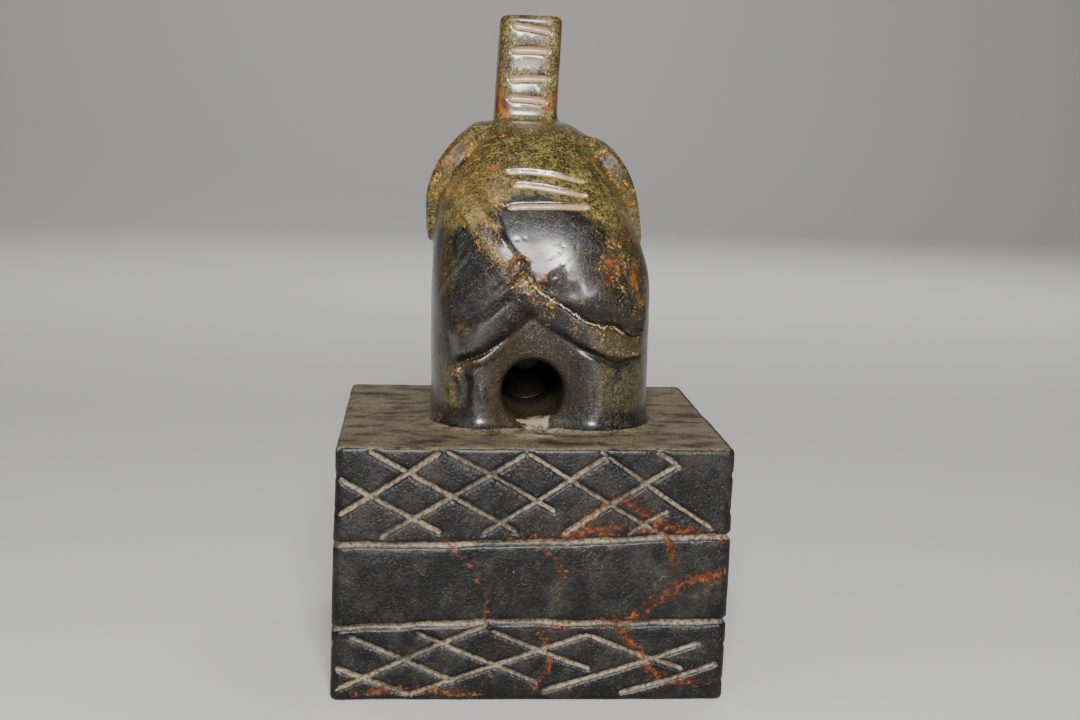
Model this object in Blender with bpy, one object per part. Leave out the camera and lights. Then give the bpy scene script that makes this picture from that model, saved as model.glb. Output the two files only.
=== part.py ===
"""A standing elephant carved with its seal block from one piece of dark iron-rich stone.

Metres, +Z up. The origin is at the centre of the block's underside, and the elephant looks along +Y,
so the rump, the tail and the three rump lines face -Y. The block is cut with two bands of crossed lines.
"""

import math

import bmesh
import bpy
from mathutils import Vector

MM = 0.001

# The seal block
BLOCK_WIDTH = 100.0 * MM
BLOCK_DEPTH = 100.0 * MM
BLOCK_HEIGHT = 65.0 * MM
BLOCK_LEAN = 1.2 * MM  # how far the top stands to the right of the underside
BLOCK_EDGE = 1.4 * MM
BLOCK_CORNER = 2.4 * MM

# The elephant's body
BODY_WIDTH = 59.0 * MM
BODY_LENGTH = 70.0 * MM
BACK_HEIGHT = 79.5 * MM  # above the block
BODY_SETBACK = 20.0 * MM  # from the block's rear face to the rump
FOOT_FLARE = 0.8 * MM
CROWN_EDGE = 3.0 * MM  # rounding round the flat top of the back
SUNK = 3.0 * MM  # how far the body's solid runs down into the block

# The raised trunk
TRUNK_WIDTH = 17.4 * MM
TRUNK_DEPTH = 15.0 * MM
TRUNK_TOP = 108.5 * MM  # above the block
TRUNK_LEAN = 1.3 * MM  # to the right, over its free height
TRUNK_EDGE = 1.9 * MM
TRUNK_STEPS = 18
TRUNK_SIDES = 20

# Ears, tusks and eyes
EAR_THICKNESS = 2.0 * MM
EAR_STAND = 3.3 * MM  # how much further its rear edge stands off the head than its root
EAR_LOW = math.radians(-7)  # turns round the head, from level
EAR_HIGH_LEFT = math.radians(70)
EAR_HIGH_RIGHT = math.radians(63)
TUSK_RADIUS = 2.8 * MM
TUSK_TIP_RADIUS = 1.3 * MM
EYE_RADIUS = 2.6 * MM
EYE_PROUD = 0.9 * MM

# The way between the legs, drilled wide from the rear to meet a narrower drill from the front
BORE_DIAMETER = 15.8 * MM
BORE_FLOOR = 2.6 * MM  # above the block
BORE_DEPTH = 38.0 * MM
FRONT_BORE_DIAMETER = 9.2 * MM
FRONT_BORE_FLOOR = 9.0 * MM  # above the block
BORE_OVERLAP = 2.0 * MM

# The scooped arches round the legs
REAR_ARCH_DEPTH = 4.5 * MM
SIDE_ARCH_DEPTH = 5.0 * MM

# Carved lines
BLOCK_LINE_WIDTH = 1.9 * MM
BLOCK_LINE_DEPTH = 0.9 * MM
RUMP_LINE_WIDTH = 2.1 * MM
RUMP_LINE_DEPTH = 0.9 * MM
TRUNK_LINE_WIDTH = 2.2 * MM
TRUNK_LINE_DEPTH = 0.8 * MM
CREASE_WIDTH = 2.8 * MM
CREASE_DEPTH = 1.5 * MM

# Raised carving on the rump
TAIL_WIDTH = 8.4 * MM
TAIL_PROUD = 1.3 * MM
HAUNCH_WIDTH = 11.0 * MM
HAUNCH_PROUD = 2.2 * MM

# How finely the body is divided
REAR_STEPS = 28
FRONT_STEPS = 18
SIDE_LEVELS = 20
CROWN_LEVELS = 5
BORE_SIDES = 26
EAR_SPOKES = 26
EAR_CIRCLES = 4

# Derived places
REAR_Y = -BLOCK_DEPTH / 2 + BODY_SETBACK
MIDDLE_Y = REAR_Y + 0.5 * BODY_LENGTH
FIGURE_X = BLOCK_LEAN / 2
PEAK_Y = REAR_Y + 0.56 * BODY_LENGTH
CHEST_Y = REAR_Y + 0.94 * BODY_LENGTH
BROW_Y = REAR_Y + BODY_LENGTH
TRUNK_Y = REAR_Y + 0.71 * BODY_LENGTH
BORE_END_Y = REAR_Y + BORE_DEPTH

# Outlines seen from behind, as shares of half the body's width and of the back's height
TAIL_PATH = (
    (-0.78, 0.80), (-0.55, 0.70), (-0.36, 0.60), (-0.19, 0.53), (-0.03, 0.46), (0.16, 0.40), (0.42, 0.335),
    (0.71, 0.30), (0.95, 0.285),
)
STRAND_PATH = ((-0.08, 0.575), (-0.25, 0.485), (-0.47, 0.41), (-0.65, 0.355))
HAUNCH_PATH = ((-0.10, 0.44), (-0.38, 0.365), (-0.68, 0.295), (-0.90, 0.27))
RIGHT_UPPER_CREASE = ((0.03, 0.51), (0.24, 0.445), (0.46, 0.395), (0.70, 0.36), (0.92, 0.36))
RIGHT_LOWER_CREASE = ((0.30, 0.30), (0.52, 0.255), (0.77, 0.225), (0.90, 0.225))
LEFT_CREASE = ((-0.38, 0.295), (-0.50, 0.26), (-0.66, 0.235), (-0.85, 0.23))
THIGH_LINE = ((-0.54, 0.59), (-0.68, 0.515), (-0.78, 0.43), (-0.83, 0.37))
RUMP_LINES = (
    ((-0.31, 0.838), (-0.06, 0.84), (0.23, 0.83), (0.51, 0.807)),
    ((-0.25, 0.795), (-0.06, 0.797), (0.23, 0.784), (0.53, 0.763)),
    ((-0.29, 0.727), (-0.06, 0.734), (0.23, 0.735), (0.54, 0.729)),
)
# Heights of the trunk's lines at the left and right, as shares of its free height
TRUNK_LINES = ((0.91, 0.84), (0.665, 0.655), (0.395, 0.40), (0.215, 0.195))

# Crossed lines on the block's rear face: where each crosses mid-band, in widths of the block, and its slope
UPPER_RISING = ((-0.40, 0.64), (-0.205, 0.59), (0.025, 0.62), (0.215, 0.63), (0.385, 0.60))
UPPER_FALLING = (
    (-0.415, -0.53), (-0.225, -0.54), (-0.03, -0.53), (0.145, -0.58), (0.31, -0.65), (0.47, -0.54),
)
LOWER_RISING = ((-0.30, 0.44), (-0.075, 0.38), (0.20, 0.33), (0.385, 0.34))
LOWER_FALLING = ((-0.47, -0.40), (-0.32, -0.43), (-0.13, -0.42), (0.02, -0.39), (0.245, -0.38))
PLAIN_LINES = 4  # crossed lines each way on the other three faces
PLAIN_SLOPE = 0.60
FALLING_CUT = 0.88  # how deep the falling lines are cut, in depths of the rising ones
# Heights of the two level lines at the block's corners, as shares of its height, in the order of the faces
UPPER_LEVEL = (0.617, 0.658, 0.645, 0.63)
LOWER_LEVEL = (0.288, 0.318, 0.31, 0.298)


def new_object(name, mesh_builder, collection=None):
    """An object whose mesh is the given bmesh, in the scene or in a collection of helpers."""
    mesh = bpy.data.meshes.new(name)
    bmesh.ops.recalc_face_normals(mesh_builder, faces=mesh_builder.faces)
    mesh_builder.to_mesh(mesh)
    mesh_builder.free()
    thing = bpy.data.objects.new(name, mesh)
    (collection or bpy.context.scene.collection).objects.link(thing)
    if collection:
        thing.hide_render = True
        thing.display_type = "WIRE"
    return thing


def helper_collection(name):
    collection = bpy.data.collections.new(name)
    bpy.context.scene.collection.children.link(collection)
    return collection


def smooth_step(low, high, value):
    share = min(1.0, max(0.0, (value - low) / (high - low)))
    return share * share * (3 - 2 * share)


def blend(first, second, share):
    return first + (second - first) * share


def from_behind(path):
    """Turns an outline's shares into metres."""
    return [Vector((x * BODY_WIDTH / 2, h * BACK_HEIGHT, 0.0)) for x, h in path]


def curve_through(points, count):
    """Even steps along a smooth curve through the points."""
    ends = [points[0] * 2 - points[1], *points, points[-1] * 2 - points[-2]]
    found = []
    for step in range(count + 1):
        place = step / count * (len(points) - 1)
        i = min(int(place), len(points) - 2)
        t = place - i
        a, b, c, d = ends[i : i + 4]
        found.append(
            (2 * b + (c - a) * t + (2 * a - 5 * b + 4 * c - d) * t**2 + (3 * b - 3 * c + d - a) * t**3) / 2
        )
    return found


# The body's plain skin. Heights in this part of the file are above the block's top.

def leaning_in(h, start, power):
    """0 up to a start height, then rising to 1 at the top of the back."""
    return min(1.0, max(0.0, (h / BACK_HEIGHT - start) / (1 - start))) ** power


def crown_inset(h):
    """How far the rounded edge of the flat top has turned inwards."""
    share = min(1.0, max(0.0, (h - BACK_HEIGHT) / CROWN_EDGE + 1))
    return CROWN_EDGE * (1 - math.sqrt(1 - share * share))


def half_width(h):
    return BODY_WIDTH / 2 * (1 - 0.60 * leaning_in(h, 0.42, 2.35)) - crown_inset(h)


def middle_x(h):
    """The body stands a little to the right and its back comes back to the middle."""
    return 0.048 * BODY_WIDTH * (1 - smooth_step(0.46, 0.82, h / BACK_HEIGHT))


def rear_y(h):
    """The rump's rearmost line at a height."""
    return blend(REAR_Y, PEAK_Y - 0.12 * BODY_LENGTH, leaning_in(h, 0.48, 2.3)) + crown_inset(h)


def front_y(h):
    """The foremost line at a height: the chest, the throat, the jaw and the brow."""
    share = h / BACK_HEIGHT
    jaw = smooth_step(0.42, 0.60, share)
    throat = 0.04 * BODY_LENGTH * smooth_step(0.20, 0.40, share) * (1 - jaw)
    face = blend(CHEST_Y, BROW_Y, jaw) - throat
    return blend(face, PEAK_Y + 0.14 * BODY_LENGTH, leaning_in(h, 0.60, 2.3)) - crown_inset(h)


def widest_y(h):
    """Where along the body it is widest at a height."""
    return blend(rear_y(h), front_y(h), 0.46)


def plan_power(h):
    """How square the body is in plan: a rounded box at the feet and an oval at the top."""
    return blend(3.3, 2.1, smooth_step(0.45, 1.0, h / BACK_HEIGHT))


def skin_point(angle, h, flare=0.0):
    """The skin at a turn round the body, 0 at the right and a quarter turn at the front."""
    across, along = math.cos(angle), math.sin(angle)
    power = 2 / plan_power(h)
    reach = (front_y(h) if along > 0 else rear_y(h)) - widest_y(h)
    x = middle_x(h) + math.copysign(abs(across) ** power, across) * (half_width(h) + flare)
    y = widest_y(h) + abs(along) ** power * (reach + math.copysign(flare, along))
    return Vector((x, y, h))


def inside_skin(point):
    h = point.z
    if h >= BACK_HEIGHT:
        return False
    end = rear_y(h) if point.y < widest_y(h) else front_y(h)
    along = abs((point.y - widest_y(h)) / (end - widest_y(h)))
    across = abs((point.x - middle_x(h)) / half_width(h))
    return along ** plan_power(h) + across ** plan_power(h) < 1


def skin_hit(start, direction):
    """Where a line from a point inside the body leaves its skin."""
    near, far = 0.0, BODY_LENGTH
    for _ in range(40):
        middle = (near + far) / 2
        if inside_skin(start + direction * middle):
            near = middle
        else:
            far = middle
    return start + direction * near


def rump_place(x, h):
    """The rump's skin and its outward direction, for a place seen from behind."""
    share = min(0.995, max(-0.995, (x - middle_x(h)) / half_width(h)))
    angle = -math.acos(math.copysign(abs(share) ** (plan_power(h) / 2), share))
    turn, lift = 0.02, 0.02 * MM
    around = skin_point(angle + turn, h) - skin_point(angle - turn, h)
    rise = skin_point(angle, h + lift) - skin_point(angle, h - lift)
    return skin_point(angle, h), around.cross(rise).normalized()


def build_body(collection):
    turn = BACK_HEIGHT - CROWN_EDGE
    sides = [2 * FOOT_FLARE + (turn - 2 * FOOT_FLARE) * i / SIDE_LEVELS for i in range(SIDE_LEVELS)]
    quarter = math.pi / 2 / CROWN_LEVELS
    crown_levels = [turn + CROWN_EDGE * math.sin(quarter * i) for i in range(CROWN_LEVELS + 1)]
    angles = [math.pi * i / FRONT_STEPS for i in range(FRONT_STEPS)]
    angles += [math.pi + math.pi * i / REAR_STEPS for i in range(REAR_STEPS)]
    builder = bmesh.new()
    loops = []
    for h in [-SUNK, 0.0, FOOT_FLARE * 0.8, *sides, *crown_levels]:
        flare = FOOT_FLARE * (1 - min(1.0, max(0.0, h) / (2 * FOOT_FLARE))) ** 2
        loops.append([builder.verts.new(skin_point(angle, h, flare)) for angle in angles])
    skin_between(builder, loops)
    return figure_object("body", builder, collection)


def skin_between(builder, loops):
    """Faces between closed loops of points, and a face over each end."""
    for low, high in zip(loops, loops[1:]):
        for i, _ in enumerate(low):
            j = (i + 1) % len(low)
            builder.faces.new((low[i], low[j], high[j], high[i]))
    builder.faces.new(reversed(loops[0]))
    builder.faces.new(loops[-1])


def figure_object(name, builder, collection):
    """An object of the figure, lifted from heights above the block to its place."""
    thing = new_object(name, builder, collection)
    thing.location = (FIGURE_X, 0.0, BLOCK_HEIGHT)
    return thing


def sweep(builder, centres, outwards, sections):
    """A closed bar through the centres. A section's points lie along its side and its outward direction."""
    loops = []
    for i, (centre, outward, section) in enumerate(zip(centres, outwards, sections)):
        ahead = (centres[min(i + 1, len(centres) - 1)] - centres[max(i - 1, 0)]).normalized()
        up = (outward - ahead * outward.dot(ahead)).normalized()
        side = ahead.cross(up)
        loops.append([builder.verts.new(centre + side * u + up * v) for u, v in section])
    skin_between(builder, loops)


def rounded_section(width, depth, power, count):
    points = []
    for i in range(count):
        angle = 2 * math.pi * (i + 0.5) / count
        u = math.copysign(abs(math.cos(angle)) ** (2 / power), math.cos(angle)) * width / 2
        v = math.copysign(abs(math.sin(angle)) ** (2 / power), math.sin(angle)) * depth / 2
        points.append((u, v))
    return points


# The trunk rises from the face and ends above the back

def trunk_x(h):
    share = max(0.0, (h - BACK_HEIGHT) / (TRUNK_TOP - BACK_HEIGHT))
    return TRUNK_LEAN * (share - 0.6)


def build_trunk(collection):
    places = (
        (0.58 * BACK_HEIGHT, BROW_Y - 0.52 * TRUNK_DEPTH),
        (0.74 * BACK_HEIGHT, BROW_Y - 0.40 * TRUNK_DEPTH),
        (0.87 * BACK_HEIGHT, blend(BROW_Y, TRUNK_Y, 0.62)),
        (0.99 * BACK_HEIGHT, TRUNK_Y + 0.03 * TRUNK_DEPTH),
        (blend(BACK_HEIGHT, TRUNK_TOP, 0.60), TRUNK_Y),
        (TRUNK_TOP, TRUNK_Y - 0.03 * TRUNK_DEPTH),
    )
    centres = curve_through([Vector((trunk_x(h), y, h)) for h, y in places], TRUNK_STEPS)
    sections = []
    for i, _ in enumerate(centres):
        root = 1 - smooth_step(0.0, 0.7, i / TRUNK_STEPS)
        width, depth = TRUNK_WIDTH * (1 + 0.18 * root), TRUNK_DEPTH * (1 + 0.25 * root)
        sections.append(rounded_section(width, depth, 3.4, TRUNK_SIDES))
    centres[-1].z = TRUNK_TOP - TRUNK_EDGE
    full = sections[-1]
    for inset, below_top in ((0.3, 0.3), (1.0, 0.0)):
        shrink = 1 - 2 * inset * TRUNK_EDGE / TRUNK_WIDTH
        centres.append(Vector((centres[-1].x, centres[-1].y, TRUNK_TOP - TRUNK_EDGE * below_top)))
        sections.append([(u * shrink, v * shrink) for u, v in full])
    builder = bmesh.new()
    sweep(builder, centres, [Vector((0, 1, 0))] * len(centres), sections)
    return figure_object("trunk", builder, collection)


# Ears are thick flaps that wrap the head and stand off towards their rear edge

def ear_place(reach, angle, side, outer):
    """A point of the ear at a share of the way from its middle to its rim."""
    high = EAR_HIGH_RIGHT if side > 0 else EAR_HIGH_LEFT
    along = 0.17 * BODY_LENGTH * math.cos(angle) * (1 + 0.22 * math.sin(angle)) * reach
    turn = (EAR_LOW + high) / 2 + (high - EAR_LOW) / 2 * math.sin(angle) * reach
    start = Vector((middle_x(0.7 * BACK_HEIGHT), TRUNK_Y - 0.16 * BODY_LENGTH + along, 0.63 * BACK_HEIGHT))
    direction = Vector((side * math.cos(turn), 0.0, math.sin(turn)))
    rise = math.sin(math.pi * min(1.0, max(0.0, (turn - EAR_LOW) / (high - EAR_LOW))) ** 1.5) ** 0.7
    rear = smooth_step(0.10 * BODY_LENGTH, -0.16 * BODY_LENGTH, along)
    lift = EAR_THICKNESS * (1 - 0.3 * reach**8) + EAR_STAND * rise * rear if outer else -EAR_THICKNESS
    return skin_hit(start, direction) + direction * lift


def build_ear(side, collection):
    spokes, circles = EAR_SPOKES, EAR_CIRCLES
    builder = bmesh.new()
    rims = []
    for outer in (True, False):
        centre = builder.verts.new(ear_place(0.0, 0.0, side, outer))
        reaches = [((i + 1) / circles) ** 0.8 for i in range(circles)] if outer else [1.0]
        loops = []
        for reach in reaches:
            angles = [2 * math.pi * i / spokes for i in range(spokes)]
            loops.append([builder.verts.new(ear_place(reach, angle, side, outer)) for angle in angles])
        for i in range(spokes):
            builder.faces.new((centre, loops[0][i - 1], loops[0][i]))
            for low, high in zip(loops, loops[1:]):
                builder.faces.new((low[i - 1], high[i - 1], high[i], low[i]))
        rims.append(loops[-1])
    for i in range(spokes):
        builder.faces.new((rims[0][i - 1], rims[1][i - 1], rims[1][i], rims[0][i]))
    return figure_object("ear_right" if side > 0 else "ear_left", builder, collection)


def build_tusk(side, collection):
    root = Vector((side * 0.38 * BODY_WIDTH / 2, BROW_Y - 0.11 * BODY_LENGTH, 0.59 * BACK_HEIGHT))
    places = ((0.0, 0.0, 0.0), (0.01, 0.06, 0.01), (0.015, 0.115, 0.045), (0.005, 0.135, 0.105))
    stations = [
        root + Vector((side * x * BODY_WIDTH, y * BODY_LENGTH, z * BACK_HEIGHT)) for x, y, z in places
    ]
    centres = curve_through(stations, 8)
    radii = [blend(TUSK_RADIUS, TUSK_TIP_RADIUS, (i / 8) ** 1.4) for i in range(9)]
    builder = bmesh.new()
    sweep(builder, centres, [Vector((1, 0, 0))] * 9, [rounded_section(2 * r, 2 * r, 2, 10) for r in radii])
    return figure_object("tusk_right" if side > 0 else "tusk_left", builder, collection)


def build_eye(side, collection):
    direction = Vector((side * math.cos(math.radians(42)), math.sin(math.radians(42)), 0.0))
    place = skin_hit(Vector((0.0, MIDDLE_Y + 0.18 * BODY_LENGTH, 0.765 * BACK_HEIGHT)), direction)
    builder = bmesh.new()
    bmesh.ops.create_uvsphere(builder, u_segments=12, v_segments=8, radius=EYE_RADIUS)
    bmesh.ops.translate(builder, verts=builder.verts, vec=place + direction * (EYE_PROUD - EYE_RADIUS))
    return figure_object("eye_right" if side > 0 else "eye_left", builder, collection)


# The rump's raised carving lies half sunk in the skin and thins out towards its ends

def rump_strip(name, path, width, proud, collection, count=12):
    places = [rump_place(point.x, point.y) for point in curve_through(from_behind(path), count)]
    sections = []
    for i, _ in enumerate(places):
        full = math.sin(math.pi * (i + 0.15) / (count + 0.3)) ** 0.4
        sections.append(rounded_section(width * full, 2 * proud * full, 2.4, 10))
    builder = bmesh.new()
    points, normals = zip(*places)
    sweep(builder, points, normals, sections)
    return figure_object(name, builder, collection)


def build_rump_carving(collection):
    rump_strip("tail", TAIL_PATH, TAIL_WIDTH, TAIL_PROUD, collection, count=16)
    rump_strip("haunch_fold", HAUNCH_PATH, HAUNCH_WIDTH, HAUNCH_PROUD, collection)
    rump_strip("tail_strand", STRAND_PATH, 0.4 * TAIL_WIDTH, 0.6 * TAIL_PROUD, collection, count=8)


# Openings and arches

def drill(name, diameter, floor, start_y, end_y, collection):
    """A level drill hole along Y."""
    builder = bmesh.new()
    bmesh.ops.create_cone(
        builder, cap_ends=True, segments=BORE_SIDES, radius1=diameter / 2, radius2=diameter / 2,
        depth=end_y - start_y,
    )
    hole = new_object(name, builder, collection)
    hole.rotation_euler.x = math.pi / 2
    hole.location = (FIGURE_X, (start_y + end_y) / 2, BLOCK_HEIGHT + floor + diameter / 2)


def build_bore(collection):
    past, met = 0.2 * BODY_LENGTH, BORE_END_Y - BORE_OVERLAP
    drill("bore_rear", BORE_DIAMETER, BORE_FLOOR, REAR_Y - past, BORE_END_Y, collection)
    drill("bore_front", FRONT_BORE_DIAMETER, FRONT_BORE_FLOOR, met, BROW_Y + past, collection)


def build_arch(name, surface, outward, reach, collection):
    """An egg-shaped scoop between two legs. The reach is its half width, its half height and its depth."""
    half, rise, depth = reach
    builder = bmesh.new()
    bmesh.ops.create_uvsphere(builder, u_segments=24, v_segments=14, radius=1.0)
    thickness = 2.2 * depth
    size = (half, thickness, rise) if outward.y else (thickness, half, rise)
    bmesh.ops.scale(builder, verts=builder.verts, vec=size)
    bmesh.ops.translate(builder, verts=builder.verts, vec=surface + outward * (thickness - depth))
    bmesh.ops.bisect_plane(
        builder, geom=[*builder.verts, *builder.edges, *builder.faces], plane_co=(0, 0, 0.25 * FOOT_FLARE),
        plane_no=(0, 0, -1), clear_outer=True,
    )
    bmesh.ops.contextual_create(builder, geom=[e for e in builder.edges if e.is_boundary])
    return figure_object(name, builder, collection)


def build_arches(collection):
    low = 0.12 * BACK_HEIGHT
    half = 0.44 * BODY_WIDTH / 2
    rear, front = Vector((0.0, REAR_Y, low)), Vector((0.0, CHEST_Y, low))
    rear_reach = (1.25 * half, 0.31 * BACK_HEIGHT, REAR_ARCH_DEPTH)
    front_reach = (half, 0.24 * BACK_HEIGHT, REAR_ARCH_DEPTH)
    build_arch("arch_rear", rear, Vector((0, -1, 0)), rear_reach, collection)
    build_arch("arch_front", front, Vector((0, 1, 0)), front_reach, collection)
    for side in (-1, 1):
        flank = Vector((middle_x(0.0) + side * BODY_WIDTH / 2, MIDDLE_Y - 0.02 * BODY_LENGTH, low))
        reach = (0.17 * BODY_LENGTH, 0.26 * BACK_HEIGHT, SIDE_ARCH_DEPTH)
        build_arch("arch_right" if side > 0 else "arch_left", flank, Vector((side, 0, 0)), reach, collection)


# Carved lines are cut with thin bars that lie half sunk along the surface

def line_bar(name, points, outwards, width, depth, collection, rounded=False):
    """A bar that cuts a line of this width at the surface: a V, or a round-bottomed groove."""
    if rounded:
        radius = (width * width / 4 + depth * depth) / (2 * depth)
        turns = [math.pi / 3 * k - math.pi / 2 for k in range(6)]
        section = [(radius * math.cos(turn), radius * (1 + math.sin(turn)) - depth) for turn in turns]
    else:
        section = [(0.0, -depth), (1.1 * width, 1.2 * depth), (-1.1 * width, 1.2 * depth)]
    builder = bmesh.new()
    sweep(builder, points, outwards, [section] * len(points))
    return new_object(name, builder, collection)


def rump_line(name, path, width, depth, collection, rounded=False, count=10):
    places = [rump_place(point.x, point.y) for point in curve_through(from_behind(path), count)]
    points, outwards = zip(*places)
    bar = line_bar(name, points, outwards, width, depth, collection, rounded)
    bar.location = (FIGURE_X, 0.0, BLOCK_HEIGHT)
    return bar


def cut_rump_lines(collection):
    size = (RUMP_LINE_WIDTH, RUMP_LINE_DEPTH)
    for count, path in enumerate(RUMP_LINES):
        rump_line(f"rump_line_{count}", path, *size, collection, rounded=True, count=8)
    rump_line("crease_right_upper", RIGHT_UPPER_CREASE, CREASE_WIDTH, CREASE_DEPTH, collection)
    rump_line("crease_right_lower", RIGHT_LOWER_CREASE, 0.8 * CREASE_WIDTH, 0.8 * CREASE_DEPTH, collection)
    rump_line("crease_left", LEFT_CREASE, CREASE_WIDTH, CREASE_DEPTH, collection)
    rump_line("thigh_line", THIGH_LINE, 0.6 * CREASE_WIDTH, 0.5 * CREASE_DEPTH, collection, count=6)


def cut_trunk_lines(collection):
    for direction in (-1, 1):
        for count, shares in enumerate(TRUNK_LINES):
            points = []
            for side, share in zip((-0.37, 0.37), shares):
                h = blend(BACK_HEIGHT, TRUNK_TOP, share)
                y = TRUNK_Y + direction * TRUNK_DEPTH / 2
                points.append(Vector((FIGURE_X + trunk_x(h) + side * TRUNK_WIDTH, y, h + BLOCK_HEIGHT)))
            name = f"trunk_line_{count}_{'front' if direction > 0 else 'rear'}"
            outwards = [Vector((0, direction, 0))] * 2
            line_bar(name, points, outwards, TRUNK_LINE_WIDTH, TRUNK_LINE_DEPTH, collection, rounded=True)


def block_faces():
    """For each upright face: a point function of (along, height), its outward direction and its width."""
    half_x, half_y = BLOCK_WIDTH / 2, BLOCK_DEPTH / 2

    def leaning(x, y, z):
        return Vector((x + BLOCK_LEAN * (z / BLOCK_HEIGHT - 0.5), y, z))

    return (
        (lambda u, z: leaning(u, -half_y, z), Vector((0, -1, 0)), BLOCK_WIDTH),
        (lambda u, z: leaning(half_x, u, z), Vector((1, 0, 0)), BLOCK_DEPTH),
        (lambda u, z: leaning(-u, half_y, z), Vector((0, 1, 0)), BLOCK_WIDTH),
        (lambda u, z: leaning(-half_x, -u, z), Vector((-1, 0, 0)), BLOCK_DEPTH),
    )


def crossed_line_ends(middle, slope, width, low, high):
    """Where a sloping line through mid-band starts and ends, kept inside the band and the face."""
    half = width / 2 - BLOCK_CORNER / 2
    mid = (low + high) / 2
    reach = (high - low) / 2 / abs(slope)
    ends = []
    for u in (middle - reach, middle + reach):
        u = min(half, max(-half, u))
        ends.append((u, mid + (u - middle) * slope))
    return ends


def cut_block_lines(collection):
    def cut(name, points, outward, cut_share=1.0):
        line_bar(name, points, [outward] * 2, BLOCK_LINE_WIDTH, BLOCK_LINE_DEPTH * cut_share, collection)

    margin = 1.3 * BLOCK_LINE_WIDTH
    even = [(i + 0.5) / PLAIN_LINES - 0.5 for i in range(PLAIN_LINES)]
    plain = [(u, slope) for slope in (PLAIN_SLOPE, -PLAIN_SLOPE) for u in even]
    for number, (place, outward, width) in enumerate(block_faces()):
        upper = [BLOCK_HEIGHT * UPPER_LEVEL[(number + k) % 4] for k in (0, 1)]
        lower = [BLOCK_HEIGHT * LOWER_LEVEL[(number + k) % 4] for k in (0, 1)]
        past = width / 2 + BLOCK_LINE_WIDTH
        for label, (start, end) in (("upper", upper), ("lower", lower)):
            cut(f"level_{label}_{number}", [place(-past, start), place(past, end)], outward)
        bands = (
            (plain if number else UPPER_RISING + UPPER_FALLING, sum(upper) / 2 + margin,
             BLOCK_HEIGHT - 0.6 * BLOCK_EDGE),
            (plain if number else LOWER_RISING + LOWER_FALLING, 0.6 * BLOCK_EDGE, sum(lower) / 2 - margin),
        )
        for band, (crossed, low, high) in enumerate(bands):
            for count, (share, slope) in enumerate(crossed):
                ends = crossed_line_ends(share * width, slope, width, low, high)
                points = [place(u, z) for u, z in ends]
                cut(f"crossed_{number}_{band}_{count}", points, outward, 1.0 if slope > 0 else FALLING_CUT)


def build_block():
    builder = bmesh.new()
    bmesh.ops.create_cube(builder, size=1.0)
    for vert in builder.verts:
        x, y, z = vert.co
        vert.co = Vector((x * BLOCK_WIDTH + BLOCK_LEAN * z, y * BLOCK_DEPTH, (z + 0.5) * BLOCK_HEIGHT))
    upright = [e for e in builder.edges if abs(e.verts[0].co.z - e.verts[1].co.z) > BLOCK_HEIGHT / 2]
    bmesh.ops.bevel(builder, geom=upright, offset=BLOCK_CORNER, segments=3, profile=0.5, affect="EDGES")
    rims = [e for e in builder.edges if abs(e.verts[0].co.z - e.verts[1].co.z) < BLOCK_HEIGHT / 2]
    bmesh.ops.bevel(builder, geom=rims, offset=BLOCK_EDGE, segments=2, profile=0.5, affect="EDGES")
    return new_object("elephant_on_block", builder)


def stone_material():
    stone = bpy.data.materials.new("iron_stone")
    stone.use_nodes = True
    shader = stone.node_tree.nodes["Principled BSDF"]
    shader.inputs["Base Color"].default_value = (0.075, 0.065, 0.045, 1.0)
    shader.inputs["Roughness"].default_value = 0.38
    shader.inputs["Metallic"].default_value = 0.0
    return stone


def combine(thing, operation, collection):
    step = thing.modifiers.new(f"{operation.lower()}_{collection.name}", "BOOLEAN")
    step.operation = operation
    step.operand_type = "COLLECTION"
    step.collection = collection
    step.solver = "EXACT"


def main():
    for thing in list(bpy.data.objects):
        bpy.data.objects.remove(thing)
    figure = helper_collection("figure")
    openings = helper_collection("openings")
    lines = helper_collection("lines")
    block = build_block()
    build_body(figure)
    build_trunk(figure)
    build_rump_carving(figure)
    for side in (-1, 1):
        build_ear(side, figure)
        build_tusk(side, figure)
        build_eye(side, figure)
    build_bore(openings)
    build_arches(openings)
    cut_block_lines(lines)
    cut_rump_lines(lines)
    cut_trunk_lines(lines)
    combine(block, "UNION", figure)
    combine(block, "DIFFERENCE", openings)
    combine(block, "DIFFERENCE", lines)
    block.data.materials.append(stone_material())


main()
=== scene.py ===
"""Looks for a standing elephant carved with its seal block from one piece of dark iron-rich stone.

The stone is shaped in a field of small cubes. Each carved form is welded on or cut away with soft edges, and
the surface is taken off the field. Two Geometry Nodes trees then cut the hand-made lines and wear the skin.
Shapes are worked out in millimetres. Heights of the elephant are above the block's top. The elephant looks
along +Y, so its rump, its tail and the three rump lines face -Y, towards the camera.
"""

import logging
import math
from dataclasses import dataclass, field
from enum import Enum

import bmesh
import bpy
import numpy as np
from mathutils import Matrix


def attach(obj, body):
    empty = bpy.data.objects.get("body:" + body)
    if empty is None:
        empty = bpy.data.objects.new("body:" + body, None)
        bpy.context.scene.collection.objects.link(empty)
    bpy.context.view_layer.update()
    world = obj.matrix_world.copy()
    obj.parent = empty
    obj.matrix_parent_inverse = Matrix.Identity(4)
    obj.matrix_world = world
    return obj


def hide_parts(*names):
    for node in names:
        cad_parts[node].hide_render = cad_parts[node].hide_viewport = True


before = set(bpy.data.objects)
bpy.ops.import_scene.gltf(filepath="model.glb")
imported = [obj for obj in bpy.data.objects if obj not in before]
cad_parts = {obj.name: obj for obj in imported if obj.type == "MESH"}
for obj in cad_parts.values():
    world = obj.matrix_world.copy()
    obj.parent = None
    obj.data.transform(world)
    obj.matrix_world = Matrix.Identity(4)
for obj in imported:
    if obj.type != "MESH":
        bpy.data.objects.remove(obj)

import openvdb
from mathutils import Matrix, Vector

Array = np.ndarray
Socket = bpy.types.NodeSocket
Thing = bpy.types.Object

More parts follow.
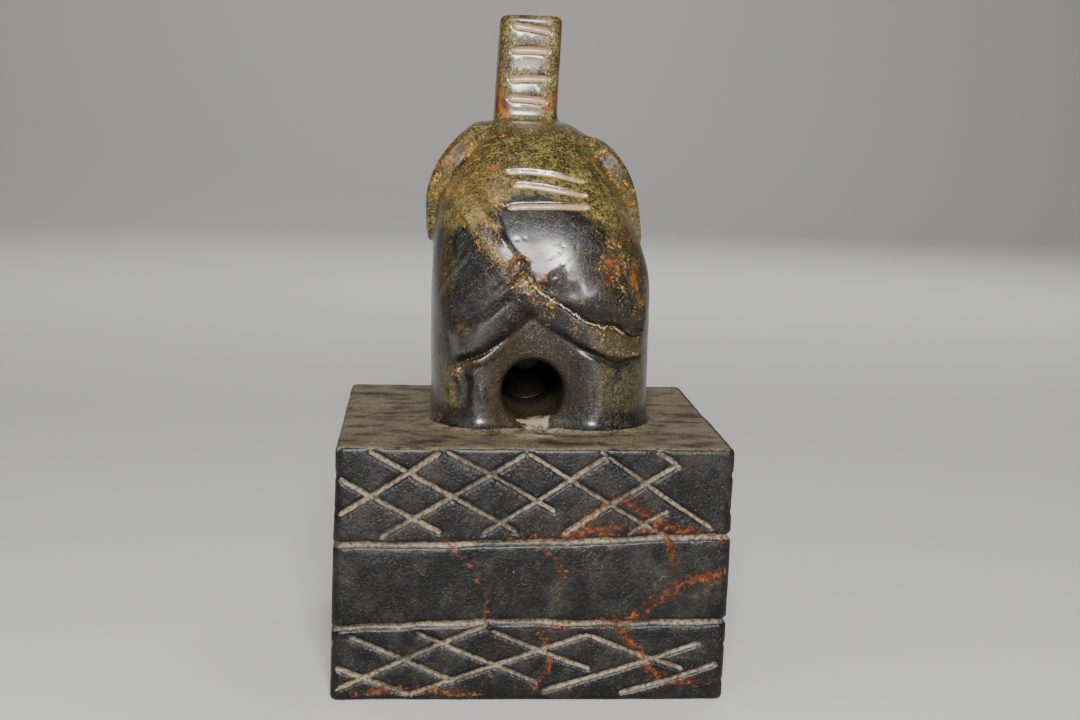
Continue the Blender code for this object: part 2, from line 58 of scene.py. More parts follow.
MM = 0.001
NODE = "elephant_on_block"
PIECE = "carved_elephant_on_block"
SLOT = "iron_stone"
SEED = 7

# The cubes of the field, and how far from a surface its distances are kept
CUBE = 0.46
BAND = 5.0
TRIANGLES = 192_000

# How many points are measured at once
AT_ONCE = 200_000

log = logging.getLogger("stone_elephant")


def smooth_step(low: float, high: float, value: Array) -> Array:
    """Rises smoothly from 0 at low to 1 at high.

    Args:
        low: Where the rise starts.
        high: Where it ends.
        value: The places to read it at.

    Returns:
        The share at each place.
    """
    share = np.clip((np.asarray(value, np.float32) - low) / (high - low), 0.0, 1.0)
    return share * share * (3 - 2 * share)


def blend(first: Array, second: Array, share: Array) -> Array:
    """Goes from first to second as the share goes from 0 to 1."""
    return first + (second - first) * share


def bump(value: Array, middle: float, half: float) -> Array:
    """A smooth hill that is 1 at the middle and 0 half a width away."""
    return smooth_step(half, 0.0, np.abs(value - middle))


def curve_through(points: tuple, count: int) -> Array:
    """Even steps along a smooth curve through the points.

    Args:
        points: Two or more points, of any number of coordinates.
        count: How many steps to take.

    Returns:
        One row for each step.
    """
    knots = np.array(points, np.float64)
    ends = np.vstack((2 * knots[0] - knots[1], knots, 2 * knots[-1] - knots[-2]))
    place = np.linspace(0, len(knots) - 1, count)
    i = np.minimum(place.astype(int), len(knots) - 2)
    t = (place - i)[:, None]
    a, b, c, d = (ends[i + k] for k in range(4))
    return (2 * b + (c - a) * t + (2 * a - 5 * b + 4 * c - d) * t**2 + (3 * b - 3 * c + d - a) * t**3) / 2


def unit(rows: Array) -> Array:
    """Each row at a length of 1."""
    return rows / np.maximum(np.linalg.norm(rows, axis=-1, keepdims=True), 1e-9)


def rounded_loop(power: float, count: int) -> Array:
    """A rounded square of half width 1.

    Args:
        power: How square it is, with 2 for a circle.
        count: How many points it has.

    Returns:
        A row of two coordinates for each point.
    """
    turn = 2 * np.pi * (np.arange(count) + 0.5) / count
    both = np.stack((np.cos(turn), np.sin(turn)), axis=1)
    return np.sign(both) * np.abs(both) ** (2 / power)


@dataclass
class Shell:
    """A closed mesh as rows of points and of four-cornered faces, in millimetres."""

    points: Array
    quads: Array

    @staticmethod
    def from_loops(loops: list) -> "Shell":
        """Joins closed loops one above the other, and closes both ends at a middle point.

        Args:
            loops: Rows of points, with equally many in each loop.

        Returns:
            The closed mesh.
        """
        count = len(loops[0])
        points = np.vstack([*loops, loops[0].mean(axis=0), loops[-1].mean(axis=0)])
        here = np.arange(count)
        after = (here + 1) % count
        quads = []
        for low in range(0, (len(loops) - 1) * count, count):
            quads.append(np.stack((low + here, low + after, low + count + after, low + count + here), axis=1))
        first, last = len(points) - 2, len(points) - 1
        top = (len(loops) - 1) * count
        quads.append(np.stack((np.full(count, first), after, here, here), axis=1))
        quads.append(np.stack((np.full(count, last), top + here, top + after, top + after), axis=1))
        return Shell(points, np.vstack(quads))

    @staticmethod
    def swept(centres: Array, outwards: Array, loops: list) -> "Shell":
        """Sweeps flat loops along a line.

        Args:
            centres: The line's points.
            outwards: For each, the way that the loops' second coordinate turns.
            loops: For each, a flat loop as rows of two coordinates.

        Returns:
            The closed mesh.
        """
        ahead = unit(np.gradient(centres, axis=0))
        up = unit(outwards - ahead * (outwards * ahead).sum(axis=1, keepdims=True))
        side = np.cross(ahead, up)
        return Shell.from_loops([
            centre + loop[:, :1] * across + loop[:, 1:] * out
            for centre, across, out, loop in zip(centres, side, up, loops)
        ])


@dataclass
class StoneField:
    """Space cut into small cubes, with the distance from the stone's surface in each, below 0 inside it."""

    low: Array
    high: Array
    values: Array = field(init=False)

    def __post_init__(self) -> None:
        """Starts with no stone at all."""
        self.counts = np.ceil((self.high - self.low) / CUBE).astype(int) + 1
        self.values = np.full(self.counts, BAND, np.float32)

    def window(self, low: Array, high: Array) -> tuple:
        """The slices of the field that cover a box.

        Args:
            low: The box's low corner.
            high: Its high corner.

        Returns:
            One slice for each axis.
        """
        start = np.clip(np.floor((np.array(low) - self.low) / CUBE).astype(int), 0, self.counts - 1)
        stop = np.clip(np.ceil((np.array(high) - self.low) / CUBE).astype(int) + 1, 1, self.counts)
        return tuple(slice(int(a), int(b)) for a, b in zip(start, stop))

    def axes(self, window: tuple) -> list:
        """The x, y and z of a window's cubes.

        Args:
            window: One slice for each axis.

        Returns:
            Three arrays, shaped so that a sum of them fills the window.
        """
        found = []
        for k, part in enumerate(window):
            shape = [1, 1, 1]
            shape[k] = -1
            row = self.low[k] + CUBE * np.arange(part.start, part.stop)
            found.append(row.astype(np.float32).reshape(shape))
        return found

    def distances(self, shell: Shell) -> tuple:
        """The distances from a closed mesh.

        Args:
            shell: The mesh.

        Returns:
            The window that the mesh reaches, and the distance in each of its cubes.
        """
        margin = BAND + 2 * CUBE
        window = self.window(shell.points.min(axis=0) - margin, shell.points.max(axis=0) + margin)
        grid = openvdb.FloatGrid.createLevelSetFromPolygons(
            ((shell.points - self.low) / CUBE).astype(np.float32), quads=shell.quads.astype(np.uint32),
            halfWidth=BAND / CUBE,
        )
        found = np.empty([part.stop - part.start for part in window], np.float32)
        grid.copyToArray(found, ijk=tuple(part.start for part in window))
        return window, found * CUBE

    def weld(self, window: tuple, found: Array, radius: float) -> None:
        """Adds a form.

        Args:
            window: The cubes that it reaches.
            found: The distance from it in each.
            radius: About how round the fillet is where it meets the stone.
        """
        here = self.values[window]
        share = np.maximum(radius - np.abs(here - found), 0.0) / radius
        self.values[window] = np.minimum(here, found) - share * share * radius / 4

    def cut(self, window: tuple, found: Array, radius: float) -> None:
        """Takes a form away.

        Args:
            window: The cubes that it reaches.
            found: The distance from it in each.
            radius: About how round the edges are.
        """
        here = self.values[window]
        share = np.maximum(radius - np.abs(here + found), 0.0) / radius
        self.values[window] = np.maximum(here, -found) + share * share * radius / 4

    def unevenness(self, sizes: tuple, rng: np.random.Generator) -> Array:
        """Slow random waves through the whole field.

        Args:
            sizes: Pairs of a wave's length and its height, in millimetres.
            rng: The seeded generator.

        Returns:
            The height of the waves in each cube.
        """
        total = np.zeros(self.counts, np.float32)
        for length, height in sizes:
            coarse = rng.normal(size=np.ceil(self.counts * CUBE / length).astype(int) + 3).astype(np.float32)
            for axis in range(3):
                place = np.arange(self.counts[axis]) * CUBE / length
                i = place.astype(int)
                t = (place - i).astype(np.float32)
                t = t * t * (3 - 2 * t)
                shape = [1, 1, 1]
                shape[axis] = -1
                t = t.reshape(shape)
                coarse = np.take(coarse, i, axis=axis) * (1 - t) + np.take(coarse, i + 1, axis=axis) * t
            total += coarse * height
        return total

    def surface(self) -> Shell:
        """Takes the surface off the field.

        Returns:
            The stone as a closed mesh.
        """
        grid = openvdb.FloatGrid(BAND)
        grid.copyFromArray(np.clip(self.values, -BAND, BAND))
        points, quads = grid.convertToQuads(0.0)
        return Shell(points.astype(np.float64) * CUBE + self.low, quads.astype(np.int64))

    def lay_down(self, points: Array) -> Array:
        """Moves points onto the nearest part of the surface.

        Args:
            points: Rows of places near the surface.

        Returns:
            The moved places.
        """
        for _ in range(4):
            place = (points - self.low) / CUBE
            i = np.clip(np.rint(place).astype(int), 1, self.counts - 2)
            here = self.values[i[:, 0], i[:, 1], i[:, 2]]
            slope = np.stack([
                self.values[tuple((i + step).T)] - self.values[tuple((i - step).T)]
                for step in np.eye(3, dtype=int)
            ], axis=1) / 2
            gap = here + ((place - i) * slope).sum(axis=1)
            square = np.maximum((slope**2).sum(axis=1, keepdims=True), 0.01 * CUBE**2)
            points = points - gap[:, None] * slope / square * CUBE * 0.9
        return points

    def hollows(self, points: Array, passes: int) -> Array:
        """How hollow the stone is round each point.

        Args:
            points: Rows of places on the surface.
            passes: How many times the field is softened before it is read.

        Returns:
            Above 0 in creases and below 0 on edges, in millimetres.
        """
        soft = self.values.copy()
        for _ in range(passes):
            for axis in range(3):
                soft = (np.roll(soft, 1, axis) + 2 * soft + np.roll(soft, -1, axis)) / 4
        place = (points - self.low) / CUBE
        i = np.clip(np.rint(place).astype(int), 1, self.counts - 2)
        return self.values[i[:, 0], i[:, 1], i[:, 2]] - soft[i[:, 0], i[:, 1], i[:, 2]]


@dataclass
class SkinPath:
    """A smooth path on the stone's skin, with its upper side and its outward direction at each step."""

    points: Array
    outwards: Array

    def __post_init__(self) -> None:
        """Works out which way is up beside the path."""
        steps = np.gradient(self.points, axis=0)
        self.spacing = float(np.linalg.norm(steps, axis=1).mean())
        self.ahead = unit(steps)
        side = unit(np.cross(self.outwards, self.ahead))
        self.side = side * np.where(side[:, 2:] < 0, -1.0, 1.0)

    def close_to(self, places: Array, margin: float) -> Array:
        """Whether each place is within a margin of the box round the path."""
        low, high = self.points.min(axis=0) - margin, self.points.max(axis=0) + margin
        return np.all((places > low) & (places < high), axis=1)

    def measure(self, places: Array) -> tuple:
        """Reads places against the path.

        Args:
            places: Rows of points in millimetres.

        Returns:
            For each place the share of the way along, the distance to the upper side, which is below 0 on the
            lower one, and the plain distance.
        """
        near = np.empty(len(places), int)
        path = self.points.astype(np.float32)
        for start in range(0, len(places), AT_ONCE):
            part = places[start : start + AT_ONCE].astype(np.float32)
            squares = (path**2).sum(axis=1) - 2 * part @ path.T
            near[start : start + AT_ONCE] = squares.argmin(axis=1)
        step = places - self.points[near]
        forwards = (step * self.ahead[near]).sum(axis=1) / self.spacing
        sideways = (step * self.side[near]).sum(axis=1)
        outward = (step * self.outwards[near]).sum(axis=1)
        plain = np.sqrt(np.maximum((step**2).sum(axis=1) - outward**2, 0.0))
        return (near + np.clip(forwards, -0.5, 0.5)) / (len(self.points) - 1), sideways, plain


@dataclass
class ElephantSkin:
    """The elephant's plain body, from its feet to the top of its back."""

    centre_x: float = 0.6
    width: float = 58.6
    length: float = 70.0
    height: float = 79.5
    rear: float = -30.0
    crown_edge: float = 3.0
    sunk: float = 3.0
    levels: int = 190
    turns: int = 220

    def __post_init__(self) -> None:
        """Places that follow from the sizes."""
        self.peak_y = self.rear + 0.56 * self.length
        self.chest_y = self.rear + 0.94 * self.length
        self.brow_y = self.rear + self.length

    def leaning_in(self, h: Array, start: float, power: float) -> Array:
        """0 up to a start height, then rising to 1 at the top of the back."""
        return np.clip((h / self.height - start) / (1 - start), 0.0, 1.0) ** power

    def crown_inset(self, h: Array) -> Array:
        """How far the rounded edge of the flat top has turned inwards."""
        share = np.clip((h - self.height) / self.crown_edge + 1, 0.0, 1.0)
        return self.crown_edge * (1 - np.sqrt(1 - share * share))

    def half_width(self, h: Array) -> Array:
        """Half the body's width, as it is at each height."""
        waist = 0.011 * bump(h / self.height, 0.62, 0.25)
        lean = self.leaning_in(h, 0.42, 2.35)
        return self.width / 2 * (1 - 0.60 * lean - waist) - self.crown_inset(h)

    def middle_x(self, h: Array) -> Array:
        """The body stands a little to the right and its back comes back to the middle."""
        return 0.048 * self.width * (1 - smooth_step(0.46, 0.82, h / self.height))

    def rear_y(self, h: Array) -> Array:
        """The rump's rearmost line at a height."""
        top = self.peak_y - 0.12 * self.length
        return blend(self.rear, top, self.leaning_in(h, 0.48, 2.3)) + self.crown_inset(h)

    def front_y(self, h: Array) -> Array:
        """The foremost line: the chest, the throat, the jaw and the brow.

        Args:
            h: Heights above the block.

        Returns:
            Its y at each height.
        """
        share = h / self.height
        jaw = smooth_step(0.42, 0.60, share)
        throat = 0.04 * self.length * smooth_step(0.20, 0.40, share) * (1 - jaw)
        face = blend(self.chest_y, self.brow_y, jaw) - throat
        top = self.peak_y + 0.14 * self.length
        return blend(face, top, self.leaning_in(h, 0.60, 2.3)) - self.crown_inset(h)

    def widest_y(self, h: Array) -> Array:
        """Where along the body it is widest at a height."""
        return blend(self.rear_y(h), self.front_y(h), 0.46)

    def plan_power(self, h: Array) -> Array:
        """How square the body is in plan: a rounded box at the feet and an oval at the top."""
        return blend(3.3, 2.1, smooth_step(0.45, 1.0, h / self.height))

    def point(self, turn: Array, h: Array) -> Array:
        """Places on the skin.

        Args:
            turn: Turns round the body, 0 at the right and a quarter turn at the front.
            h: Heights above the block.

        Returns:
            A row for each place.
        """
        across, along = np.cos(turn), np.sin(turn)
        power = 2 / self.plan_power(h)
        reach = np.where(along > 0, self.front_y(h), self.rear_y(h)) - self.widest_y(h)
        x = self.middle_x(h) + np.sign(across) * np.abs(across) ** power * self.half_width(h)
        y = self.widest_y(h) + np.abs(along) ** power * reach
        return np.stack(np.broadcast_arrays(x, y, np.asarray(h, float)), axis=-1)

    def inside(self, places: Array) -> Array:
        """Whether places are inside the skin.

        Args:
            places: Rows of points.

        Returns:
            True or false for each.
        """
        h = np.minimum(places[..., 2], self.height - 1e-3)
        end = np.where(places[..., 1] < self.widest_y(h), self.rear_y(h), self.front_y(h))
        along = np.abs((places[..., 1] - self.widest_y(h)) / (end - self.widest_y(h)))
        across = np.abs((places[..., 0] - self.middle_x(h)) / self.half_width(h))
        power = self.plan_power(h)
        return (along**power + across**power < 1) & (places[..., 2] < self.height)

    def hit(self, start: Array, direction: Array) -> Array:
        """Where lines from inside the body leave its skin.

        Args:
            start: Rows of points inside the body.
            direction: The way that each line goes.

        Returns:
            A row for each line.
        """
        near = np.zeros(start.shape[:-1])
        far = np.full(start.shape[:-1], self.length)
        for _ in range(30):
            middle = (near + far) / 2
            within = self.inside(start + direction * middle[..., None])
            near, far = np.where(within, middle, near), np.where(within, far, middle)
        return start + direction * near[..., None]

    def rump_place(self, x: Array, h: Array) -> tuple:
        """Finds the rump's skin behind places that are seen from behind.

        Args:
            x: How far right each place is.
            h: Its height above the block.

        Returns:
            The places on the skin, and the outward direction at each.
        """
        share = np.clip((x - self.middle_x(h)) / self.half_width(h), -0.995, 0.995)
        turn = -np.arccos(np.sign(share) * np.abs(share) ** (self.plan_power(h) / 2))
        step = 0.01
        around = self.point(turn + step, h) - self.point(turn - step, h)
        rise = self.point(turn, h + step) - self.point(turn, h - step)
        return self.point(turn, h), unit(np.cross(around, rise))

    def path(self, outline: tuple, count: int = 120) -> SkinPath:
        """Lays an outline that is seen from behind on the rump."""
        flat = curve_through(outline, count)
        return SkinPath(*self.rump_place(flat[:, 0], flat[:, 1]))

    def shell(self) -> Shell:
        """The whole skin.

        Returns:
            It as a closed mesh.
        """
        levels = np.concatenate((
            np.linspace(-self.sunk, self.height - self.crown_edge, self.levels),
            self.height - self.crown_edge * (1 - np.sin(np.linspace(0.05, 0.5 * np.pi, 14))),
        ))
        turn = 2 * np.pi * np.arange(self.turns) / self.turns
        return Shell.from_loops([self.point(turn, np.full(self.turns, h)) for h in levels])


class Form(Enum):
    """How a carved form stands across its path."""

    BAND = "a flat strap with rounded edges"
    LIP = "a lip that hangs over the path and fades out above it"
    ROLL = "a fold that drops sharply on its lower side"
    CREASE = "a round-bottomed groove"
    RIDGE = "a low rounded ridge"


@dataclass
class RumpForm:
    """One form carved along a path on the rump. Widths and heights are in millimetres."""

    form: Form
    outline: tuple
    half: float
    height: float
    start: float = 0.06
    end: float = 0.06

    def raised(self, along: Array, side: Array, plain: Array) -> Array:
        """How far the stone stands out, from where places lie against the path.

        Args:
            along: The share of the way along the path.
            side: The distance to the upper side, below 0 on the lower one.
            plain: The plain distance from the path.

        Returns:
            The height in millimetres, below 0 where it is cut in.
        """
        ends = smooth_step(0.0, self.start, along) * smooth_step(0.0, self.end, 1 - along)
        beyond = np.maximum(plain**2 - side**2, 0.0) ** 0.5
        ends = ends * smooth_step(self.half, 0.3 * self.half, beyond)
        if self.form is Form.BAND:
            shape = smooth_step(self.half + 0.5, self.half - 0.9, np.abs(side))
        elif self.form is Form.LIP:
            reach = self.half * blend(0.18, 0.44, smooth_step(0.25, 0.60, along))
            rise = np.clip(side / reach, 0.0, 1.0)
            shape = np.sqrt(rise * (2 - rise)) * smooth_step(self.half + 2.0, reach, side)
        elif self.form is Form.ROLL:
            low = np.clip((side + self.half) / (0.45 * self.half), 0.0, 1.0)
            shape = np.sqrt(low * (2 - low)) * smooth_step(self.half, 0.1 * self.half, side)
        elif self.form is Form.CREASE:
            shape = -smooth_step(self.half, 0.0, plain)
        else:
            shape = smooth_step(self.half, 0.15 * self.half, plain)
        return self.height * shape * ends


@dataclass
class ElephantFigure:
    """The elephant: its body, the carving on its rump, its trunk, ears, tusks and eyes, and its openings."""

    skin: ElephantSkin = field(default_factory=ElephantSkin)
    block_top: float = 65.0
    trunk_y: float = 19.7
    trunk_width: float = 17.4
    trunk_depth: float = 15.0
    trunk_top: float = 108.5
    trunk_lean: float = 1.3
    trunk_edge: float = 1.9
    ear_thickness: float = 2.0
    ear_stand: float = 3.3
    ear_low: float = math.radians(-7)
    ear_high: tuple = (math.radians(70), math.radians(63))
    tusk_radius: float = 2.8
    tusk_tip: float = 1.3
    bore_radius: float = 7.9
    bore_floor: float = 2.6
    bore_end: float = 8.0
    front_bore_radius: float = 4.2
    front_bore_floor: float = 10.9
    foot_fillet: float = 3.7

    def rump_forms(self) -> dict:
        """The forms carved on the rump.

        Returns:
            The forms by name, in the order in which they are cut.
        """
        overhang = (
            (-3.4, 43.6), (-1.8, 40.7), (1.7, 36.5), (7.9, 32.8), (11.5, 30.4), (15.9, 28.3), (20.8, 27.4),
            (24.4, 25.0), (28.4, 25.7),
        )
        band, ridge, crease = Form.BAND, Form.RIDGE, Form.CREASE
        return {
            "haunch_roll": RumpForm(
                Form.ROLL, ((-1.8, 36.0), (-7.2, 31.4), (-11.5, 28.2), (-16.2, 25.0), (-22.0, 22.6)),
                5.4, 2.9, 0.10, 0.22),
            "roll_edge": RumpForm(
                crease, ((-0.9, 31.4), (-4.8, 27.0), (-9.4, 23.1), (-14.6, 19.9), (-19.4, 18.7)),
                1.0, 0.8, 0.15, 0.25),
            "ledge": RumpForm(
                ridge, ((-1.6, 29.6), (-5.2, 25.0), (-9.3, 21.4), (-13.4, 18.6), (-19.0, 17.2)),
                1.7, 1.0, 0.15, 0.2),
            "strap_high": RumpForm(
                band, ((-21.8, 62.7), (-16.6, 56.2), (-11.8, 49.2), (-7.0, 43.6), (-3.4, 39.4)),
                3.6, 0.9, 0.02, 0.12),
            "strap_low": RumpForm(
                band, ((-3.8, 38.8), (0.8, 34.0), (7.0, 29.6), (13.8, 26.0), (20.5, 23.2), (28.2, 22.8)),
                3.8, 1.1, 0.12, 0.02),
            "overhang": RumpForm(Form.LIP, overhang, 14.0, 2.3, 0.55, 0.02),
            "overhang_crease": RumpForm(crease, overhang, 1.0, 1.1, 0.10, 0.02),
            "strap_left_edge": RumpForm(
                crease, ((-22.8, 59.6), (-17.6, 53.0), (-13.4, 46.4), (-8.9, 42.3)), 1.1, 0.6, 0.1, 0.15),
            "strap_groove": RumpForm(
                crease, ((-14.6, 61.5), (-12.0, 56.5), (-11.2, 51.5), (-9.6, 48.3)), 1.1, 0.45, 0.12, 0.3),
            "strap_cord": RumpForm(
                ridge, ((-13.0, 60.4), (-9.6, 54.4), (-8.4, 50.4), (-6.6, 47.4)), 1.4, 0.45, 0.2, 0.3),
            "strand": RumpForm(
                ridge, ((-5.4, 41.0), (-8.9, 37.4), (-12.5, 34.7), (-15.4, 32.8)), 1.6, 0.7, 0.02, 0.6),
            "knob": RumpForm(ridge, ((-6.6, 40.2), (-4.6, 43.2), (-3.1, 45.8)), 2.5, 1.5, 0.25, 0.30),
            "pit": RumpForm(crease, ((1.6, 39.3), (2.4, 37.9), (4.6, 37.9)), 1.3, 1.1, 0.2, 0.6),
            "lobe": RumpForm(ridge, ((3.2, 39.1), (5.2, 40.7), (8.0, 42.6)), 2.1, 0.7, 0.2, 0.6),
            "lobe_hollow": RumpForm(crease, ((5.4, 36.6), (9.4, 36.8), (13.0, 37.4)), 3.4, 0.55, 0.2, 0.5),
            "thigh_line": RumpForm(
                ridge, ((-16.5, 47.0), (-19.3, 43.4), (-22.7, 38.6), (-24.9, 33.0)), 0.9, 0.4, 0.1, 0.3),
            "thigh_hollow": RumpForm(
                crease, ((-16.0, 44.8), (-18.8, 41.4), (-21.8, 36.6), (-23.9, 31.4)), 2.6, 0.35, 0.2, 0.4),
            "low_crease": RumpForm(
                crease, ((4.6, 28.4), (8.5, 24.8), (12.4, 21.9), (17.7, 19.6), (21.3, 17.6), (24.2, 18.2),
                         (28.6, 19.4)), 1.4, 0.9, 0.2, 0.05),
            "left_pebble": RumpForm(ridge, ((-20.6, 15.0), (-19.0, 14.6)), 2.8, 1.0, 0.0001, 0.0001),
            "left_shade": RumpForm(crease, ((-16.6, 14.8), (-17.2, 10.6), (-17.4, 5.0)), 2.0, 0.7, 0.25, 0.3),
            "left_toe": RumpForm(ridge, ((-20.6, 9.8), (-21.4, 6.0)), 3.2, 0.5, 0.0001, 0.0001),
            "right_line": RumpForm(crease, ((16.3, 14.5), (16.5, 9.0), (16.2, 3.5)), 1.3, 0.4, 0.3, 0.3),
            "right_edge_line": RumpForm(crease, ((21.2, 13.5), (21.5, 8.0)), 1.4, 0.4, 0.25, 0.25),
            "niche_rim": RumpForm(
                ridge, ((-13.6, 13.0), (-13.0, 8.6), (-10.8, 4.6), (-8.9, 2.2)), 1.3, 0.4, 0.2, 0.2),
        }

    def trunk_x(self, h: Array) -> Array:
        """The trunk's middle at a height."""
        share = np.maximum(0.0, (h - self.skin.height) / (self.trunk_top - self.skin.height))
        return self.trunk_lean * (share - 0.6)

    def trunk_shell(self) -> Shell:
        """The trunk, from the face up to its flat end with rounded edges.

        Returns:
            It as a closed mesh.
        """
        skin, depth = self.skin, self.trunk_depth
        steps, corners, top_steps = 90, 72, 9
        h = np.array((0.58, 0.74, 0.87, 0.99)) * skin.height
        h = np.append(h, (blend(skin.height, self.trunk_top, 0.60), self.trunk_top - self.trunk_edge))
        y = (
            skin.brow_y - 0.52 * depth, skin.brow_y - 0.40 * depth, blend(skin.brow_y, self.trunk_y, 0.62),
            self.trunk_y + 0.03 * depth, self.trunk_y, self.trunk_y - 0.03 * depth,
        )
        centres = curve_through(tuple(zip(self.trunk_x(h), y, h)), steps)
        root = 1 - smooth_step(0.0, 0.7, np.linspace(0, 1, steps))
        sizes = np.stack((self.trunk_width / 2 * (1 + 0.18 * root), depth / 2 * (1 + 0.25 * root)), axis=1)
        loop = rounded_loop(3.6, corners)
        outwards = np.tile((0.0, 1.0, 0.0), (steps, 1))
        body = Shell.swept(centres, outwards, [loop * size for size in sizes])
        loops = list(body.points[: steps * corners].reshape(steps, corners, 3))
        for turn in np.linspace(0.1, 0.5 * np.pi, top_steps):
            size = sizes[-1] - self.trunk_edge * (1 - np.cos(turn))
            centre = centres[-1] + (0.0, 0.0, self.trunk_edge * np.sin(turn))
            loops.append(np.column_stack((loop * size * (-1, 1), np.zeros(corners))) + centre)
        return Shell.from_loops(loops)

    def ear_shell(self, side: int) -> Shell:
        """An ear: a thick flap that wraps the head and stands off towards its rear edge.

        Args:
            side: -1 for the left ear and 1 for the right one.

        Returns:
            It as a closed mesh.
        """
        skin = self.skin
        spokes, circles = 120, 26
        high = self.ear_high[0 if side < 0 else 1]
        angle = 2 * np.pi * np.arange(spokes) / spokes
        loops = []
        for outer, reaches in ((False, (0.02, 0.5, 1.0)), (True, np.linspace(1.0, 0.02, circles))):
            for reach in reaches:
                along = 0.17 * skin.length * np.cos(angle) * (1 + 0.22 * np.sin(angle)) * reach
                turn = (self.ear_low + high) / 2 + (high - self.ear_low) / 2 * np.sin(angle) * reach
                start = np.stack((
                    np.full(spokes, float(skin.middle_x(0.7 * skin.height))),
                    self.trunk_y - 0.16 * skin.length + along, np.full(spokes, 0.63 * skin.height),
                ), axis=1)
                direction = np.stack((side * np.cos(turn), np.zeros(spokes), np.sin(turn)), axis=1)
                span = np.clip((turn - self.ear_low) / (high - self.ear_low), 0.0, 1.0)
                rise = np.sin(np.pi * span**1.5) ** 0.7
                rear = smooth_step(0.10 * skin.length, -0.16 * skin.length, along)
                dish = 0.9 * smooth_step(0.86, 0.55, reach) * smooth_step(0.0, 0.5, rise)
                thick = self.ear_thickness * (0.12 + 0.88 * smooth_step(0.0, 0.16, 1 - span))
                lift = thick * (1 - 0.35 * reach**8) + self.ear_stand * rise * rear - dish
                lift = lift if outer else np.full(spokes, -self.ear_thickness)
                loops.append(skin.hit(start, direction) + direction * lift[:, None])
        return Shell.from_loops(loops)

    def tusk_shell(self, side: int) -> Shell:
        """A short tusk that curves forwards and up beside the trunk.

        Args:
            side: -1 for the left tusk and 1 for the right one.

        Returns:
            It as a closed mesh.
        """
        skin, steps = self.skin, 30
        root = np.array((side * 0.19 * skin.width, skin.brow_y - 0.11 * skin.length, 0.59 * skin.height))
        bend = np.array(((0.0, 0.0, 0.0), (0.01, 0.06, 0.01), (0.015, 0.115, 0.045), (0.005, 0.135, 0.105)))
        places = root + bend * (side * skin.width, skin.length, skin.height)
        centres = curve_through(tuple(places), steps)
        share = np.linspace(0, 1, steps)
        radii = blend(self.tusk_radius, self.tusk_tip, share**1.4) * np.sqrt(1 - share**14)
        loop = rounded_loop(2.0, 28)
        outwards = np.tile((1.0, 0.0, 0.0), (steps, 1))
        return Shell.swept(centres, outwards, [loop * max(radius, 0.1) for radius in radii])

    def eye_place(self, side: int) -> tuple:
        """Where an eye sits on the head.

        Args:
            side: -1 for the left eye and 1 for the right one.

        Returns:
            Its place, and the way that it looks.
        """
        skin, turn = self.skin, math.radians(42)
        direction = np.array((side * math.cos(turn), math.sin(turn), 0.0))
        middle_y = skin.rear + 0.5 * skin.length
        start = np.array((0.0, middle_y + 0.18 * skin.length, 0.765 * skin.height))
        return skin.hit(start[None], direction[None])[0], direction

    def carve_rump(self, values: Array, axes: list) -> Array:
        """Raises and cuts the forms on the rump.

        Args:
            values: The plain body's distances.
            axes: The x, y and z of their cubes, with x from the body's middle and z above the block.

        Returns:
            The distances after carving.
        """
        near = np.argwhere(np.abs(values) < BAND - 0.1)
        places = np.stack([axes[k].ravel()[near[:, k]] for k in range(3)], axis=1).astype(np.float64)
        keep = places[:, 1] < self.skin.widest_y(places[:, 2]) + 6.0
        near, places = near[keep], places[keep]
        total = np.zeros(len(places))
        for form in self.rump_forms().values():
            path = self.skin.path(form.outline)
            close = path.close_to(places, form.half + 3.5)
            total[close] += form.raised(*path.measure(places[close]))
        values[near[:, 0], near[:, 1], near[:, 2]] -= total.astype(np.float32)
        return values

    def add_to(self, stone: StoneField) -> None:
        """Welds the elephant onto the block and cuts its openings.

        Args:
            stone: The field, with the block in it.
        """
        skin = self.skin
        place = np.array((skin.centre_x, 0.0, self.block_top))

        def put(shell: Shell) -> Shell:
            """The same mesh in its place on the block."""
            return Shell(shell.points + place, shell.quads)

        figure = StoneField(stone.low, stone.high)
        window, found = stone.distances(put(skin.shell()))
        axes = stone.axes(window)
        found = self.carve_rump(found, [axis - shift for axis, shift in zip(axes, place)])
        figure.weld(window, found, 0.01)
        for side in (-1, 1):
            figure.weld(*stone.distances(put(self.ear_shell(side))), 1.0)
            figure.weld(*stone.distances(put(self.tusk_shell(side))), 1.6)
            eye, direction = self.eye_place(side)
            self.add_eye(figure, eye + place, direction)
        figure.weld(*stone.distances(put(self.trunk_shell())), 3.4)
        self.cut_niches(figure, place)
        whole = (slice(None),) * 3
        stone.weld(whole, figure.values, self.foot_fillet)
        self.cut_bore(stone, place)

    def add_eye(self, figure: StoneField, eye: Array, direction: Array) -> None:
        """A round eye in a shallow socket.

        Args:
            figure: The elephant's own field.
            eye: The place on the skin.
            direction: The way that the eye looks.
        """
        window = figure.window(eye - 9, eye + 9)
        x, y, z = figure.axes(window)

        def ball(centre: Array, radius: float, squash: float) -> Array:
            """Distances from a ball that is a little flattened in height."""
            height = (z - centre[2]) / squash
            return np.sqrt((x - centre[0]) ** 2 + (y - centre[1]) ** 2 + height**2) - radius

        figure.cut(window, ball(eye + direction * 3.0, 4.6, 0.9), 1.4)
        figure.weld(window, ball(eye - direction * 1.9, 2.9, 0.8), 0.5)

